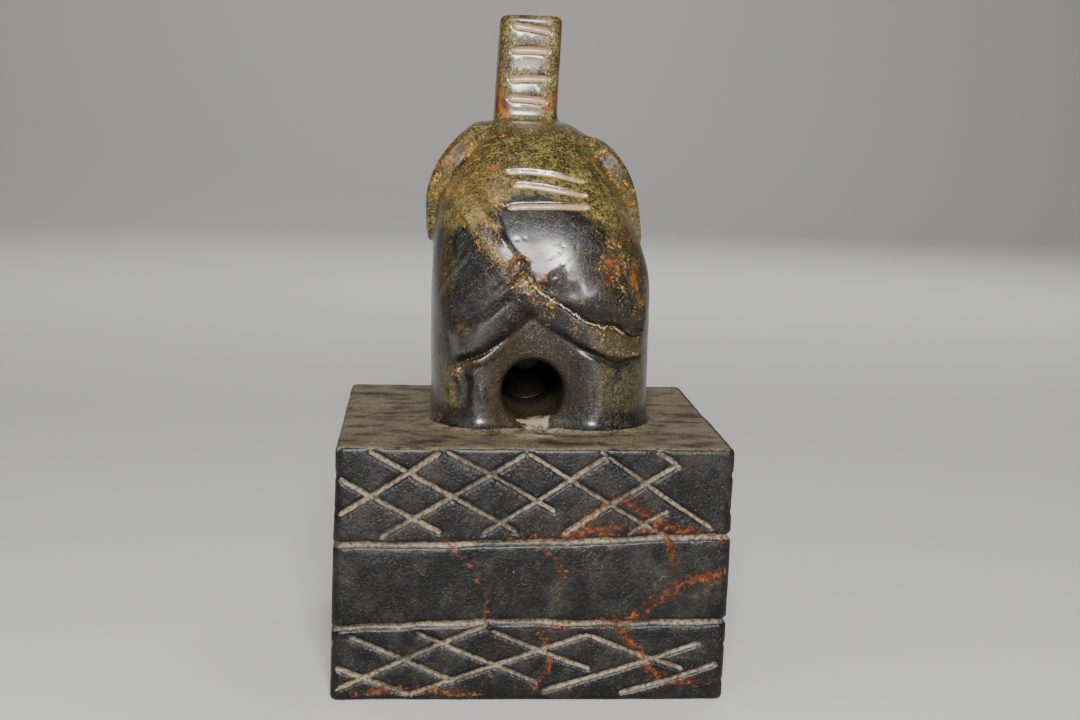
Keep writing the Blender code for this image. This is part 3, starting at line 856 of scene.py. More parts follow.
    def cut_niches(self, figure: StoneField, place: Array) -> None:
        """Scoops the arched niches between the legs, at the rear, the front and the sides.

        Args:
            figure: The elephant's own field.
            place: Where its middle stands.
        """
        skin = self.skin
        low = 0.12 * skin.height
        middle_y = skin.rear + 0.48 * skin.length
        middle = float(skin.middle_x(0.0))
        half = 0.22 * skin.width
        side_size = (0.17 * skin.length, 0.26 * skin.height)
        scoops = (
            ((0.3, skin.rear, low), (0, -1), (1.26 * half, 0.31 * skin.height), 4.7, 4.0),
            ((0.0, skin.chest_y, low), (0, 1), (half, 0.24 * skin.height), 4.5, 3.0),
            ((middle + skin.width / 2, middle_y, low), (1, 0), side_size, 5.0, 3.0),
            ((middle - skin.width / 2, middle_y, low), (-1, 0), side_size, 5.0, 3.0),
        )
        for at, out, (wide, tall), depth, edge in scoops:
            reach = 2.2 * depth
            centre = np.array(at) + place + np.array((*out, 0)) * (reach - depth)
            radii = np.array((reach, wide, tall) if out[0] else (wide, reach, tall))
            window = figure.window(centre - radii - 4, centre + radii + 4)
            x, y, z = figure.axes(window)
            squares = [((axis - c) / r) ** 2 for axis, c, r in zip((x, y, z), centre, radii)]
            slopes = [((axis - c) / r**2) ** 2 for axis, c, r in zip((x, y, z), centre, radii)]
            share = np.sqrt(sum(squares))
            found = share * (share - 1) / np.maximum(np.sqrt(sum(slopes)), 1e-4)
            figure.cut(window, np.clip(found, -BAND, BAND), edge)

    def cut_bore(self, stone: StoneField, place: Array) -> None:
        """Drills the way between the legs, wide from the rear and narrower from the front.

        Args:
            stone: The field, with the elephant in it.
            place: Where the elephant's middle stands.
        """
        drills = (
            (self.bore_radius, self.bore_floor, self.skin.rear - 14, self.bore_end, 1.6),
            (self.front_bore_radius, self.front_bore_floor, self.bore_end - 2, self.skin.brow_y + 14, 1.2),
        )
        for radius, floor, start, end, edge in drills:
            window = stone.window(
                (place[0] - radius - 5, start, place[2] + floor - 5),
                (place[0] + radius + 5, end + 5, place[2] + floor + 2 * radius + 5),
            )
            x, y, z = stone.axes(window)
            across = np.sqrt((x - place[0]) ** 2 + (z - place[2] - floor - radius) ** 2) - radius
            worn = 0.8 * smooth_step(6.0, 0.0, np.abs(y - self.skin.rear - 3.0))
            worn = worn * smooth_step(place[2] + floor + radius, place[2] + floor, z)
            found = np.maximum(across - worn, y - end)
            stone.cut(window, np.clip(found, -BAND, BAND), edge)

    def carved_lines(self) -> list:
        """The three lines on the rump and the four on each broad side of the trunk.

        Returns:
            The lines in millimetres.
        """
        rump = (
            ((-9.0, 66.6), (-1.6, 66.9), (6.4, 66.0), (14.6, 64.2)),
            ((-7.2, 63.2), (-1.6, 63.4), (6.3, 62.3), (15.0, 60.7)),
            ((-8.4, 57.6), (-1.6, 58.3), (6.3, 58.4), (15.4, 58.0)),
        )
        lift = np.array((self.skin.centre_x, 0.0, self.block_top))
        lines = [HandLine(self.skin.path(outline, 50).points + lift, 1.3, 1.0, 0.12) for outline in rump]
        ends = ((105.6, 103.6), (98.8, 98.5), (90.9, 91.1), (85.9, 84.9))
        for turned in (-1, 1):
            for left, right in ends:
                share = np.linspace(0, 1, 30)
                x = (share - 0.5) * 0.72 * self.trunk_width
                h = blend(left, right, share) + 0.25 * np.sin(3 * share)
                y = np.full(30, self.trunk_y + turned * 0.5 * self.trunk_depth)
                points = np.stack((x + self.trunk_x(h), y, h), axis=1) + lift
                lines.append(HandLine(points, 1.45, 1.15, 0.16))
        return lines


@dataclass
class HandLine:
    """A line cut by hand: its middle, half its width, its depth and the share in which each end fades."""

    points: Array
    half: float
    depth: float
    fade: float

    def even(self, spacing: float) -> Array:
        """Takes even steps along the line.

        Args:
            spacing: The length of a step.

        Returns:
            A row for each step.
        """
        steps = np.linalg.norm(np.diff(self.points, axis=0), axis=1)
        length = np.concatenate(([0.0], np.cumsum(steps)))
        places = np.linspace(0, length[-1], max(3, int(length[-1] / spacing)))
        return np.stack([np.interp(places, length, self.points[:, k]) for k in range(3)], axis=1)


class Face(Enum):
    """The block's four upright faces, by the way each looks."""

    REAR = (0, -1)
    RIGHT = (1, 0)
    FRONT = (0, 1)
    LEFT = (-1, 0)


@dataclass
class SealBlock:
    """The block under the elephant, cut with two bands of crossed lines and two level lines."""

    width: float = 100.0
    depth: float = 100.0
    height: float = 65.0
    lean: float = 1.2
    corner: float = 2.3
    edge: float = 1.3
    line_half: float = 1.05
    line_depth: float = 0.85

    def add_to(self, stone: StoneField) -> None:
        """Welds the block into the field.

        Args:
            stone: The field.
        """
        window = stone.window((-60, -60, -8), (60, 60, self.height + 8))
        x, y, z = stone.axes(window)
        x = x - self.lean * (z / self.height - 0.5)
        bulge = 0.35 * bump(z, 0.45 * self.height, 0.5 * self.height)
        wide = np.abs(x) - (self.width / 2 - self.corner - 0.25 + 0.3 * bulge)
        deep = np.abs(y) - (self.depth / 2 - self.corner - 0.25 + 0.3 * bulge)
        outside = np.sqrt(np.maximum(wide, 0) ** 2 + np.maximum(deep, 0) ** 2)
        plan = outside + np.minimum(np.maximum(wide, deep), 0) - self.corner + self.edge
        rise = np.abs(z - self.height / 2) - self.height / 2 + self.edge
        rim = np.sqrt(np.maximum(plan, 0) ** 2 + np.maximum(rise, 0) ** 2)
        found = rim + np.minimum(np.maximum(plan, rise), 0) - self.edge
        stone.weld(window, np.clip(found, -BAND, BAND), 0.01)

    def on_face(self, face: Face, u: Array, z: Array) -> Array:
        """Points on an upright face.

        Args:
            face: The face.
            u: The distances to the right of its middle.
            z: The heights.

        Returns:
            A row for each point.
        """
        out_x, out_y = face.value
        shift = self.lean * (z / self.height - 0.5)
        x = out_x * self.width / 2 - out_y * u + shift
        y = out_y * self.depth / 2 + out_x * u
        return np.stack(np.broadcast_arrays(x, y, z), axis=-1)

    def rear_lines(self) -> tuple:
        """The crossed lines of the rear face.

        Returns:
            Each line's two ends, as a distance to the right of the middle and a height below the top.
        """
        return (
            ((-49.2, -17.7), (-23.9, -1.4)), ((-38.3, -22.8), (-2.8, -1.7)), ((-13.0, -21.9), (17.6, -2.3)),
            ((7.3, -22.0), (35.0, -4.0)), ((23.4, -21.8), (33.4, -15.6)),
            ((-49.2, -62.2), (-10.7, -45.2)), ((-30.1, -63.6), (14.7, -47.3)), ((3.4, -62.6), (43.2, -50.0)),
            ((22.7, -63.2), (48.0, -55.3)),
            ((-49.2, -7.8), (-23.2, -21.7)), ((-41.7, -1.0), (-4.3, -21.6)), ((-22.3, -1.0), (5.1, -15.9)),
            ((-2.9, -1.2), (33.0, -22.5)), ((15.6, -0.9), (44.5, -20.2)), ((29.8, -0.9), (36.0, -4.2)),
            ((-49.2, -56.2), (-28.6, -63.6)), ((-45.8, -48.3), (-18.6, -59.8)),
            ((-28.9, -47.0), (2.6, -60.7)), ((-9.9, -47.0), (15.6, -56.9)), ((14.0, -47.7), (39.1, -56.9)),
        )

    def plain_lines(self, width: float) -> tuple:
        """The crossed lines of a face that isn't the rear one, evenly spaced.

        Args:
            width: The face's width.

        Returns:
            Each line's two ends, as a distance to the right of the middle and a height below the top.
        """
        found = []
        limit, slope, count = 0.49 * width, 0.60, 5
        for low, high in ((-22.4, -1.2), (-63.4, -47.2)):
            middle, reach = (low + high) / 2, (high - low) / 2 / slope
            for at in ((np.arange(count) + 0.5) / count - 0.5) * width:
                for turn in (-1, 1):
                    ends = np.clip((at - reach, at + reach), -limit, limit)
                    found.append(tuple((u, middle + turn * (u - at) * slope) for u in ends))
        return tuple(found)

    def level_lines(self) -> dict:
        """The two level lines of each face.

        Returns:
            Their heights below the top by face, from its left to its right end.
        """
        return {
            Face.REAR: ((-24.9, -24.6, -24.1, -23.1, -22.2), (-46.4, -44.9, -44.4, -44.9, -44.2)),
            Face.RIGHT: ((-22.2, -22.6, -23.1), (-44.2, -44.6, -44.8)),
            Face.FRONT: ((-23.1, -23.6, -24.2), (-44.8, -45.3, -45.6)),
            Face.LEFT: ((-24.2, -24.6, -24.9), (-45.6, -46.0, -46.4)),
        }

    def carved_lines(self, rng: np.random.Generator) -> list:
        """All the lines cut in the block, each a little unsteady.

        Args:
            rng: The seeded generator.

        Returns:
            The lines in millimetres.
        """
        lines = []
        for face, levels in self.level_lines().items():
            for heights in levels:
                u = np.linspace(-0.5 * self.width, 0.5 * self.width, 90)
                z = np.interp(u, np.linspace(u[0], u[-1], len(heights)), heights) + self.height
                z = z + 0.14 * np.sin(u / 6.1 + rng.uniform(0, 6))
                z = z + 0.08 * np.sin(u / 2.3 + rng.uniform(0, 6))
                points = self.on_face(face, u, z)
                lines.append(HandLine(points, 1.15 * self.line_half, 1.05 * self.line_depth, 0.0))
            crossed = self.rear_lines() if face is Face.REAR else self.plain_lines(self.width)
            for start, end in crossed:
                share = np.linspace(-0.025, 1.025, 40)
                u = blend(start[0], end[0], share)
                z = blend(start[1], end[1], share) + self.height
                sway = 0.22 * np.sin(np.pi * share * rng.uniform(0.6, 1.8) + rng.uniform(0, 6))
                half = self.line_half * rng.uniform(0.85, 1.12)
                line_depth = self.line_depth * rng.uniform(0.75, 1.05)
                lines.append(HandLine(self.on_face(face, u, z + sway), half, line_depth, 0.05))
        return lines


class NodeSheet:
    """A node tree that is written line by line."""

    def __init__(self, tree: bpy.types.NodeTree) -> None:
        """Takes the tree to write in."""
        self.tree = tree
        self.column = 0

    def add(self, kind: str, inputs: dict | None = None, **settings: object) -> bpy.types.Node:
        """Adds a node.

        Args:
            kind: The node's type.
            inputs: What each input takes, by its name or number: a socket or a plain value.
            **settings: The node's own settings.

        Returns:
            The new node.
        """
        node = self.tree.nodes.new(kind)
        node.location = (self.column * 180, 0)
        self.column += 1
        for name, value in settings.items():
            setattr(node, name, value)
        for key, value in (inputs or {}).items():
            if isinstance(value, Socket):
                self.tree.links.new(value, node.inputs[key])
            else:
                node.inputs[key].default_value = value
        return node

    def math(self, operation: str, first: object, second: object = 0.5, clamp: bool = False) -> Socket:
        """One sum of two values."""
        inputs = {0: first, 1: second}
        return self.add("ShaderNodeMath", inputs, operation=operation, use_clamp=clamp).outputs[0]

    def plus(self, first: object, second: object) -> Socket:
        """The first value with the second added."""
        return self.math("ADD", first, second)

    def minus(self, first: object, second: object, clamp: bool = False) -> Socket:
        """The first value less the second, and kept from 0 to 1 where clamp is set."""
        return self.math("SUBTRACT", first, second, clamp)

    def times(self, first: object, second: object) -> Socket:
        """The two values multiplied."""
        return self.math("MULTIPLY", first, second)

    def over(self, first: object, second: object, clamp: bool = False) -> Socket:
        """The first value divided by the second, and kept from 0 to 1 where clamp is set."""
        return self.math("DIVIDE", first, second, clamp)

    def range(self, value: object, low: float, high: float, first: float = 0.0, last: float = 1.0) -> Socket:
        """Maps a value from low..high to first..last with soft ends."""
        inputs = {0: value, 1: low, 2: high, 3: first, 4: last}
        return self.add("ShaderNodeMapRange", inputs, interpolation_type="SMOOTHSTEP").outputs[0]

    def mix(self, share: object, first: object, second: object) -> Socket:
        """Mixes two colours."""
        return self.add("ShaderNodeMix", {0: share, 6: first, 7: second}, data_type="RGBA").outputs[2]

    def mix_values(self, share: object, first: object, second: object) -> Socket:
        """Mixes two plain values."""
        return self.add("ShaderNodeMix", {0: share, 2: first, 3: second}, data_type="FLOAT").outputs[0]

    def scaled(self, vector: Socket, by: object) -> Socket:
        """A vector times a number."""
        return self.add("ShaderNodeVectorMath", {0: vector, 3: by}, operation="SCALE").outputs[0]

    def shifted(self, vector: Socket, step: Socket) -> Socket:
        """A vector with a step added."""
        return self.add("ShaderNodeVectorMath", {0: vector, 1: step}, operation="ADD").outputs[0]

    def noise(self, vector: object, scale: object, detail: float = 3.0, rough: float = 0.55) -> Socket:
        """Soft random values round 0.5."""
        inputs = {"Vector": vector, "Scale": scale, "Detail": detail, "Roughness": rough}
        return self.add("ShaderNodeTexNoise", inputs).outputs[0]

    def seeded_noise(self, vector: Socket, scale: object, seed: Socket) -> bpy.types.Node:
        """Soft random values and colours that change with a seed."""
        inputs = {"Vector": vector, "W": seed, "Scale": scale}
        return self.add("ShaderNodeTexNoise", inputs, noise_dimensions="4D")


def place_object(name: str, data: bpy.types.ID) -> Thing:
    """Makes an object and links it to the scene."""
    thing = bpy.data.objects.new(name, data)
    bpy.context.scene.collection.objects.link(thing)
    return thing


def settle(thing: Thing) -> None:
    """Turns an object with modifiers into its plain result.

    Args:
        thing: The object, which loses its modifiers and its old mesh.
    """
    view = bpy.context.evaluated_depsgraph_get()
    ready = thing.evaluated_get(view)
    mesh = bpy.data.meshes.new_from_object(ready, preserve_all_data_layers=True, depsgraph=view)
    thing.modifiers.clear()
    old = thing.data
    thing.data = mesh
    bpy.data.meshes.remove(old)


class NodesTool:
    """A Geometry Nodes tree with named inputs for its sizes, which turns an object into a plain mesh."""

    def __init__(self, name: str, sizes: dict) -> None:
        """Starts the tree.

        Args:
            name: The tree's name.
            sizes: The named inputs and their values.
        """
        self.tree = bpy.data.node_groups.new(name, "GeometryNodeTree")
        self.tree.is_modifier = True
        face = self.tree.interface
        face.new_socket("Geometry", in_out="INPUT", socket_type="NodeSocketGeometry")
        face.new_socket("Finish", in_out="INPUT", socket_type="NodeSocketMaterial")
        face.new_socket("Paths", in_out="INPUT", socket_type="NodeSocketObject")
        for size in sizes:
            kind = "NodeSocketInt" if size == "Seed" else "NodeSocketFloat"
            face.new_socket(size, in_out="INPUT", socket_type=kind)
        face.new_socket("Geometry", in_out="OUTPUT", socket_type="NodeSocketGeometry")
        self.sizes = sizes
        self.sheet = NodeSheet(self.tree)
        self.inlet = self.sheet.add("NodeGroupInput").outputs

    def sink(self, name: str, mask: Socket, depth: Socket) -> None:
        """Ends the tree: stores a mask on the points, moves them inwards and sets the material.

        Args:
            name: What the mask is called on the points.
            mask: How strongly each point is marked, from 0 to 1.
            depth: How far each point moves in.
        """
        sheet = self.sheet
        stored = sheet.add("GeometryNodeStoreNamedAttribute", {
            "Geometry": self.inlet["Geometry"], "Name": name, "Value": mask,
        }, data_type="FLOAT", domain="POINT").outputs[0]
        normal = sheet.add("GeometryNodeInputNormal").outputs[0]
        shift = sheet.scaled(normal, sheet.times(depth, -1.0))
        moved = sheet.add("GeometryNodeSetPosition", {"Geometry": stored, "Offset": shift}).outputs[0]
        real = sheet.add("GeometryNodeRealizeInstances", {0: moved}).outputs[0]
        dressed = sheet.add("GeometryNodeSetMaterial", {"Geometry": real, "Material": self.inlet["Finish"]})
        sheet.add("NodeGroupOutput", {0: dressed.outputs[0]})

    def apply(self, thing: Thing, finish: bpy.types.Material, paths: Thing | None) -> None:
        """Runs the tree on an object and keeps the result as its plain mesh.

        Args:
            thing: The object.
            finish: The material that it gets.
            paths: The object that holds the paths to follow.
        """
        step = thing.modifiers.new(self.tree.name, "NODES")
        step.node_group = self.tree
        values = {"Finish": finish, "Paths": paths, **self.sizes}
        for item in self.tree.interface.items_tree:
            if item.item_type == "SOCKET" and item.in_out == "INPUT" and values.get(item.name) is not None:
                step[item.identifier] = values[item.name]
        settle(thing)


@dataclass
class LineCutter:
    """Cuts hand-made lines along paths, with soft shoulders and an unsteady edge."""

    spacing: float = 0.5
    wobble: float = 0.22 * MM
    wobble_scale: float = 420.0
    shoulder: float = 0.92
    full_depth: float = 0.85 * MM

    def network(self, lines: list) -> Thing:
        """All the paths as one object of loose edges, with each point's half width and depth.

        Args:
            lines: The lines, in millimetres.

        Returns:
            The object.
        """
        points, edges, halves, depths = [], [], [], []
        for line in lines:
            row = line.even(self.spacing)
            share = np.linspace(0, 1, len(row))
            ends = np.ones(len(row))
            if line.fade:
                ends = smooth_step(0.0, line.fade, share) * smooth_step(0.0, line.fade, 1 - share)
            first = sum(len(part) for part in points)
            edges.extend((first + i, first + i + 1) for i in range(len(row) - 1))
            points.append(row)
            halves.append(line.half * (0.45 + 0.55 * ends))
            depths.append(line.depth * ends)
        mesh = bpy.data.meshes.new("line_paths")
        mesh.from_pydata(np.vstack(points) * MM, edges, [])
        for name, rows in (("line_half", halves), ("line_depth", depths)):
            layer = mesh.attributes.new(name, "FLOAT", "POINT")
            layer.data.foreach_set("value", (np.concatenate(rows) * MM).astype(np.float32))
        return place_object("line_paths", mesh)

    def cut(self, thing: Thing, lines: list, finish: bpy.types.Material) -> None:
        """Cuts the lines into an object and stores how deep each point lies in a line, as line_cut.

        Args:
            thing: The object.
            lines: The lines, in millimetres.
            finish: The object's material.
        """
        tool = NodesTool("hand_cut_lines", {
            "Wobble": self.wobble, "Wobble scale": self.wobble_scale, "Shoulder": self.shoulder,
            "Full depth": self.full_depth, "Seed": SEED,
        })
        sheet, inlet = tool.sheet, tool.inlet
        found = sheet.add("GeometryNodeObjectInfo", {0: inlet["Paths"]}, transform_space="ORIGINAL")
        paths = found.outputs["Geometry"]
        here = sheet.add("GeometryNodeInputPosition").outputs[0]
        gap = sheet.add("GeometryNodeProximity", {0: paths}, target_element="EDGES").outputs["Distance"]
        nearest = sheet.add("GeometryNodeSampleNearest", {0: paths}, domain="POINT").outputs[0]

        def path_value(name: str) -> Socket:
            """A value stored on the nearest point of the paths."""
            stored = sheet.add("GeometryNodeInputNamedAttribute", {0: name}, data_type="FLOAT").outputs[0]
            inputs = {0: paths, 1: stored, 2: nearest}
            return sheet.add("GeometryNodeSampleIndex", inputs, data_type="FLOAT", domain="POINT").outputs[0]

        sway = sheet.seeded_noise(here, inlet["Wobble scale"], inlet["Seed"]).outputs[0]
        sway = sheet.times(sheet.minus(sway, 0.5), inlet["Wobble"])
        gap = sheet.plus(gap, sheet.times(sway, 2.0))
        inward = sheet.minus(1.0, sheet.over(gap, path_value("line_half")), clamp=True)
        round_cut = sheet.range(inward, 0.0, inlet["Shoulder"])
        sunk = sheet.times(round_cut, path_value("line_depth"))
        tool.sink("line_cut", sheet.over(sunk, inlet["Full depth"], clamp=True), sunk)
        network = self.network(lines)
        tool.apply(thing, finish, network)
        bpy.data.objects.remove(network)


@dataclass
class SkinWeathering:
    """Small pits, chips and the soft facets that hand grinding leaves."""

    pit_size: float = 1.9 * MM
    pit_depth: float = 0.11 * MM
    pit_share: float = 0.06
    facet_size: float = 5.5 * MM
    facet_depth: float = 0.10 * MM
    warp: float = 0.9 * MM
    warp_scale: float = 500.0

    def wear(self, thing: Thing, finish: bpy.types.Material) -> None:
        """Weathers an object's surface and stores how deep each point lies in a pit, as pit.

        Args:
            thing: The object.
            finish: The object's material.
        """
        tool = NodesTool("weathered_skin", {
            "Pit size": self.pit_size, "Pit depth": self.pit_depth, "Pit share": self.pit_share,
            "Facet size": self.facet_size, "Facet depth": self.facet_depth, "Warp": self.warp,
            "Warp scale": self.warp_scale, "Seed": SEED + 4,
        })
        sheet, inlet = tool.sheet, tool.inlet
        here = sheet.add("GeometryNodeInputPosition").outputs[0]
        warp = sheet.seeded_noise(here, inlet["Warp scale"], inlet["Seed"]).outputs[1]
        bent = sheet.shifted(here, sheet.scaled(warp, inlet["Warp"]))
        inputs = {"Vector": bent, "Scale": sheet.over(1.0, inlet["Pit size"])}
        cells = sheet.add("ShaderNodeTexVoronoi", inputs, feature="F1").outputs
        chance = sheet.add("FunctionNodeSeparateColor", {0: cells["Color"]}).outputs[0]
        chosen = sheet.math("LESS_THAN", chance, inlet["Pit share"])
        pit = sheet.times(sheet.range(cells["Distance"], 0.42, 0.05), chosen)
        inputs = {"Vector": bent, "Scale": sheet.over(1.0, inlet["Facet size"]), "Smoothness": 0.6}
        facets = sheet.add("ShaderNodeTexVoronoi", inputs, feature="SMOOTH_F1").outputs["Distance"]
        sunk = sheet.plus(sheet.times(pit, inlet["Pit depth"]), sheet.times(facets, inlet["Facet depth"]))
        tool.sink("pit", pit, sunk)
        tool.apply(thing, finish, None)


@dataclass(frozen=True)
class StoneFinish:
    """Dark iron-rich stone with a hand polish: slate and olive, with rust, tan dust, worn pale places, and
    painted light and shade.
    """

    name: str = SLOT
    slate: tuple = (0.0030, 0.0033, 0.0036, 1.0)
    slate_light: tuple = (0.0110, 0.0105, 0.0095, 1.0)
    olive: tuple = (0.182, 0.140, 0.040, 1.0)
    olive_dark: tuple = (0.046, 0.033, 0.006, 1.0)
    black: tuple = (0.0030, 0.0025, 0.0020, 1.0)
    dust: tuple = (0.280, 0.210, 0.130, 1.0)
    tan: tuple = (0.200, 0.108, 0.030, 1.0)
    gold: tuple = (0.500, 0.235, 0.030, 1.0)
    orange: tuple = (0.190, 0.062, 0.008, 1.0)
    red: tuple = (0.060, 0.011, 0.003, 1.0)
    gilt: tuple = (0.340, 0.205, 0.105, 1.0)
    groove: tuple = (0.185, 0.145, 0.098, 1.0)
    groove_dark: tuple = (0.060, 0.045, 0.030, 1.0)
    earth: tuple = (0.034, 0.020, 0.006, 1.0)
    pale: tuple = (0.330, 0.265, 0.180, 1.0)
    table: tuple = (0.128, 0.096, 0.060, 1.0)
    table_dark: tuple = (0.018, 0.011, 0.005, 1.0)
    # How fine each mineral is, in repeats per metre
    speck_scale: float = 1500.0
    rust_scale: float = 1150.0
    dust_scale: float = 3500.0
    grit_scale: float = 2900.0
    crack_scale: float = 170.0
    crack_width: float = 0.045

    def build(self) -> bpy.types.Material:
        """Makes the material.

        Returns:
            The material.
        """
        finish = bpy.data.materials.new(self.name)
        finish.use_nodes = True
        finish.node_tree.nodes.clear()
        layers = StoneLayers(NodeSheet(finish.node_tree))
        self.lay_stone(layers)
        gold = self.lay_minerals(layers)
        veins = self.lay_veins(layers)
        self.lay_wear(layers)
        layers.close(veins, gold)
        return finish

    def lay_stone(self, layers: "StoneLayers") -> None:
        """Lays slate, and olive, earth, duller places, and painted shade and a darker tone on it.

        Args:
            layers: The layers so far.
        """
        sheet, patchy = layers.sheet, layers.patchy
        slate = sheet.mix(sheet.range(layers.mottle, 0.42, 0.60), self.slate, self.slate_light)
        layers.start(slate, sheet.range(layers.mottle, 0.30, 0.70, 0.28, 0.42))
        olive = sheet.mix(sheet.range(layers.fine, 0.30, 0.62), self.olive_dark, self.olive)
        layers.lay(patchy("olive", 1.7, 0.30, 0.70), olive, 0.36)
        layers.lay(patchy("table", 0.9, 0.35, 0.65), self.table_colour(layers), 0.60)
        layers.lay(patchy("earth", 1.2, 0.20, 0.90), self.earth, 0.62, 0.85)
        layers.lay(patchy("dull", 1.5, 0.20, 0.80), self.slate_light, 0.62, 0.80)
        # painted shade on the lower flanks and in the niche, and a darker tone on the ears
        layers.lay(patchy("shade_and_dark_tone", 1.6, 0.20, 0.90), self.black, 0.40, 0.78)

    def table_colour(self, layers: "StoneLayers") -> Socket:
        """The block's top: long streaks across it, like the grain of wood.

        Args:
            layers: The layers so far.

        Returns:
            The colour.
        """
        sheet = layers.sheet
        inputs = {0: layers.place, 2: (0.0, 0.0, 0.45), 3: (1.0, 1.7, 1.5)}
        streaks = sheet.noise(sheet.add("ShaderNodeMapping", inputs).outputs[0], 90.0, 8.0, 0.72)
        both = sheet.plus(sheet.times(streaks, 0.65), sheet.times(layers.mottle, 0.35))
        return sheet.mix(sheet.range(both, 0.40, 0.55), self.table_dark, self.table)

    def lay_minerals(self, layers: "StoneLayers") -> Socket:
        """Lays black specks, pale and dark grit, gold and rust.

        Args:
            layers: The layers so far.

        Returns:
            Where the gold is.
        """
        sheet, zone, place, scale = layers.sheet, layers.zone, layers.place, self.speck_scale
        black = sheet.plus(0.45, sheet.times(zone("olive"), 0.36))
        layers.lay(layers.specks(scale, black, 0.10, 0.32), self.black, 0.34, 0.80)
        strewn = sheet.range(sheet.noise(place, 190.0, 3.0, 0.6), 0.36, 0.62, 0.35, 1.0)
        dusty = sheet.times(sheet.range(zone("dusty"), 0.0, 1.0, 0.20, 0.70), strewn)
        cover = sheet.range(zone("dusty"), 0.0, 0.8, 0.07, 0.42)
        layers.lay(layers.grit(self.dust_scale, dusty), self.dust, 0.42, cover)
        gritty = sheet.range(layers.mottle, 0.35, 0.65, 0.15, 0.50)
        layers.lay(layers.grit(self.grit_scale, gritty), self.black, 0.50, 0.62)
        gold_tone = sheet.mix(sheet.range(sheet.noise(place, 500.0), 0.45, 0.62), self.tan, self.gold)
        gold = layers.specks(scale, zone("tan"), 0.10)
        layers.lay(gold, gold_tone, 0.42, 0.80)
        rust_tone = sheet.mix(sheet.range(sheet.noise(place, 260.0, 4.0), 0.46, 0.58), self.orange, self.red)
        layers.lay(layers.specks(self.rust_scale, zone("rust"), 0.14), rust_tone, 0.50, 0.88)
        return gold

    def lay_veins(self, layers: "StoneLayers") -> Socket:
        """Lays the rusty veins, where they are painted and along loose cracks.

        Args:
            layers: The layers so far.

        Returns:
            Where the veins are.
        """
        sheet, zone = layers.sheet, layers.zone
        tone = sheet.mix(sheet.range(layers.fine, 0.46, 0.72), self.red, self.orange)
        cracks = layers.cracks(self.crack_scale, self.crack_width, zone("vein"))
        ragged = sheet.plus(sheet.times(layers.fine, 0.35), sheet.times(layers.mottle, 0.65))
        thread = sheet.range(sheet.plus(zone("vein_path"), ragged), 1.32, 1.40)
        broken = sheet.range(sheet.noise(layers.place, 420.0, 4.0, 0.7), 0.40, 0.52)
        veins = sheet.math("MAXIMUM", cracks, sheet.times(thread, broken))
        layers.lay(veins, tone, 0.60, 0.88)
        return veins

    def lay_wear(self, layers: "StoneLayers") -> None:
        """Lays scratches, the chalky grooves, worn pale places and a painted pool of light on the drilled
        way's near floor, dirt in hollows and pits, painted shade in the folds, the thin crack and painted
        shadow inside the drilled way over all the rest.

        Args:
            layers: The layers so far.
        """
        sheet, zone, patchy, place = layers.sheet, layers.zone, layers.patchy, layers.place
        polish = zone("polish")
        layers.lay(layers.scratches, self.dust, 0.40, sheet.range(polish, 0.0, 1.0, 0.08, 0.28))
        layers.lay(patchy("hollow", 0.5, 0.30, 1.0), self.earth, 0.60, 0.55)
        groove = sheet.mix(sheet.range(layers.fine, 0.40, 0.58), self.groove_dark, self.groove)
        groove = sheet.mix(sheet.times(polish, 0.65), groove, self.gilt)
        worn = sheet.range(sheet.noise(place, 55.0, 3.0, 0.6), 0.34, 0.60, 0.35, 1.0)
        layers.lay(patchy("line_cut", 0.8, 0.20, 0.75), groove, 0.46, sheet.math("MAXIMUM", worn, polish))
        # pale: worn pale places, and a painted pool of light on the drilled way's near floor
        layers.lay(patchy("pale", 3.0, 0.45, 0.90), self.pale, 0.45, 0.72)
        layers.lay(zone("pit"), self.black, 0.55, 0.55)
        # painted shade: black laid in the rump's folds and creases
        layers.lay(patchy("shade", 0.5, 0.20, 0.95), self.black, 0.50, 0.72)
        bent = sheet.times(sheet.minus(sheet.noise(place, 420.0, 3.0, 0.6), 0.5), 0.40)
        beside = sheet.math("ABSOLUTE", sheet.minus(sheet.plus(zone("crack_side"), bent), 0.5))
        thin = sheet.times(sheet.range(beside, 0.030, 0.012), zone("crack"))
        layers.lay(thin, self.pale, 0.35, sheet.range(sheet.noise(place, 260.0), 0.36, 0.52))
        # painted shadow: black inside the drilled way, above a wavy line and deep in
        layers.lay(patchy("bore_shadow", 0.4, 0.20, 0.80), self.black, 0.95, 0.97)


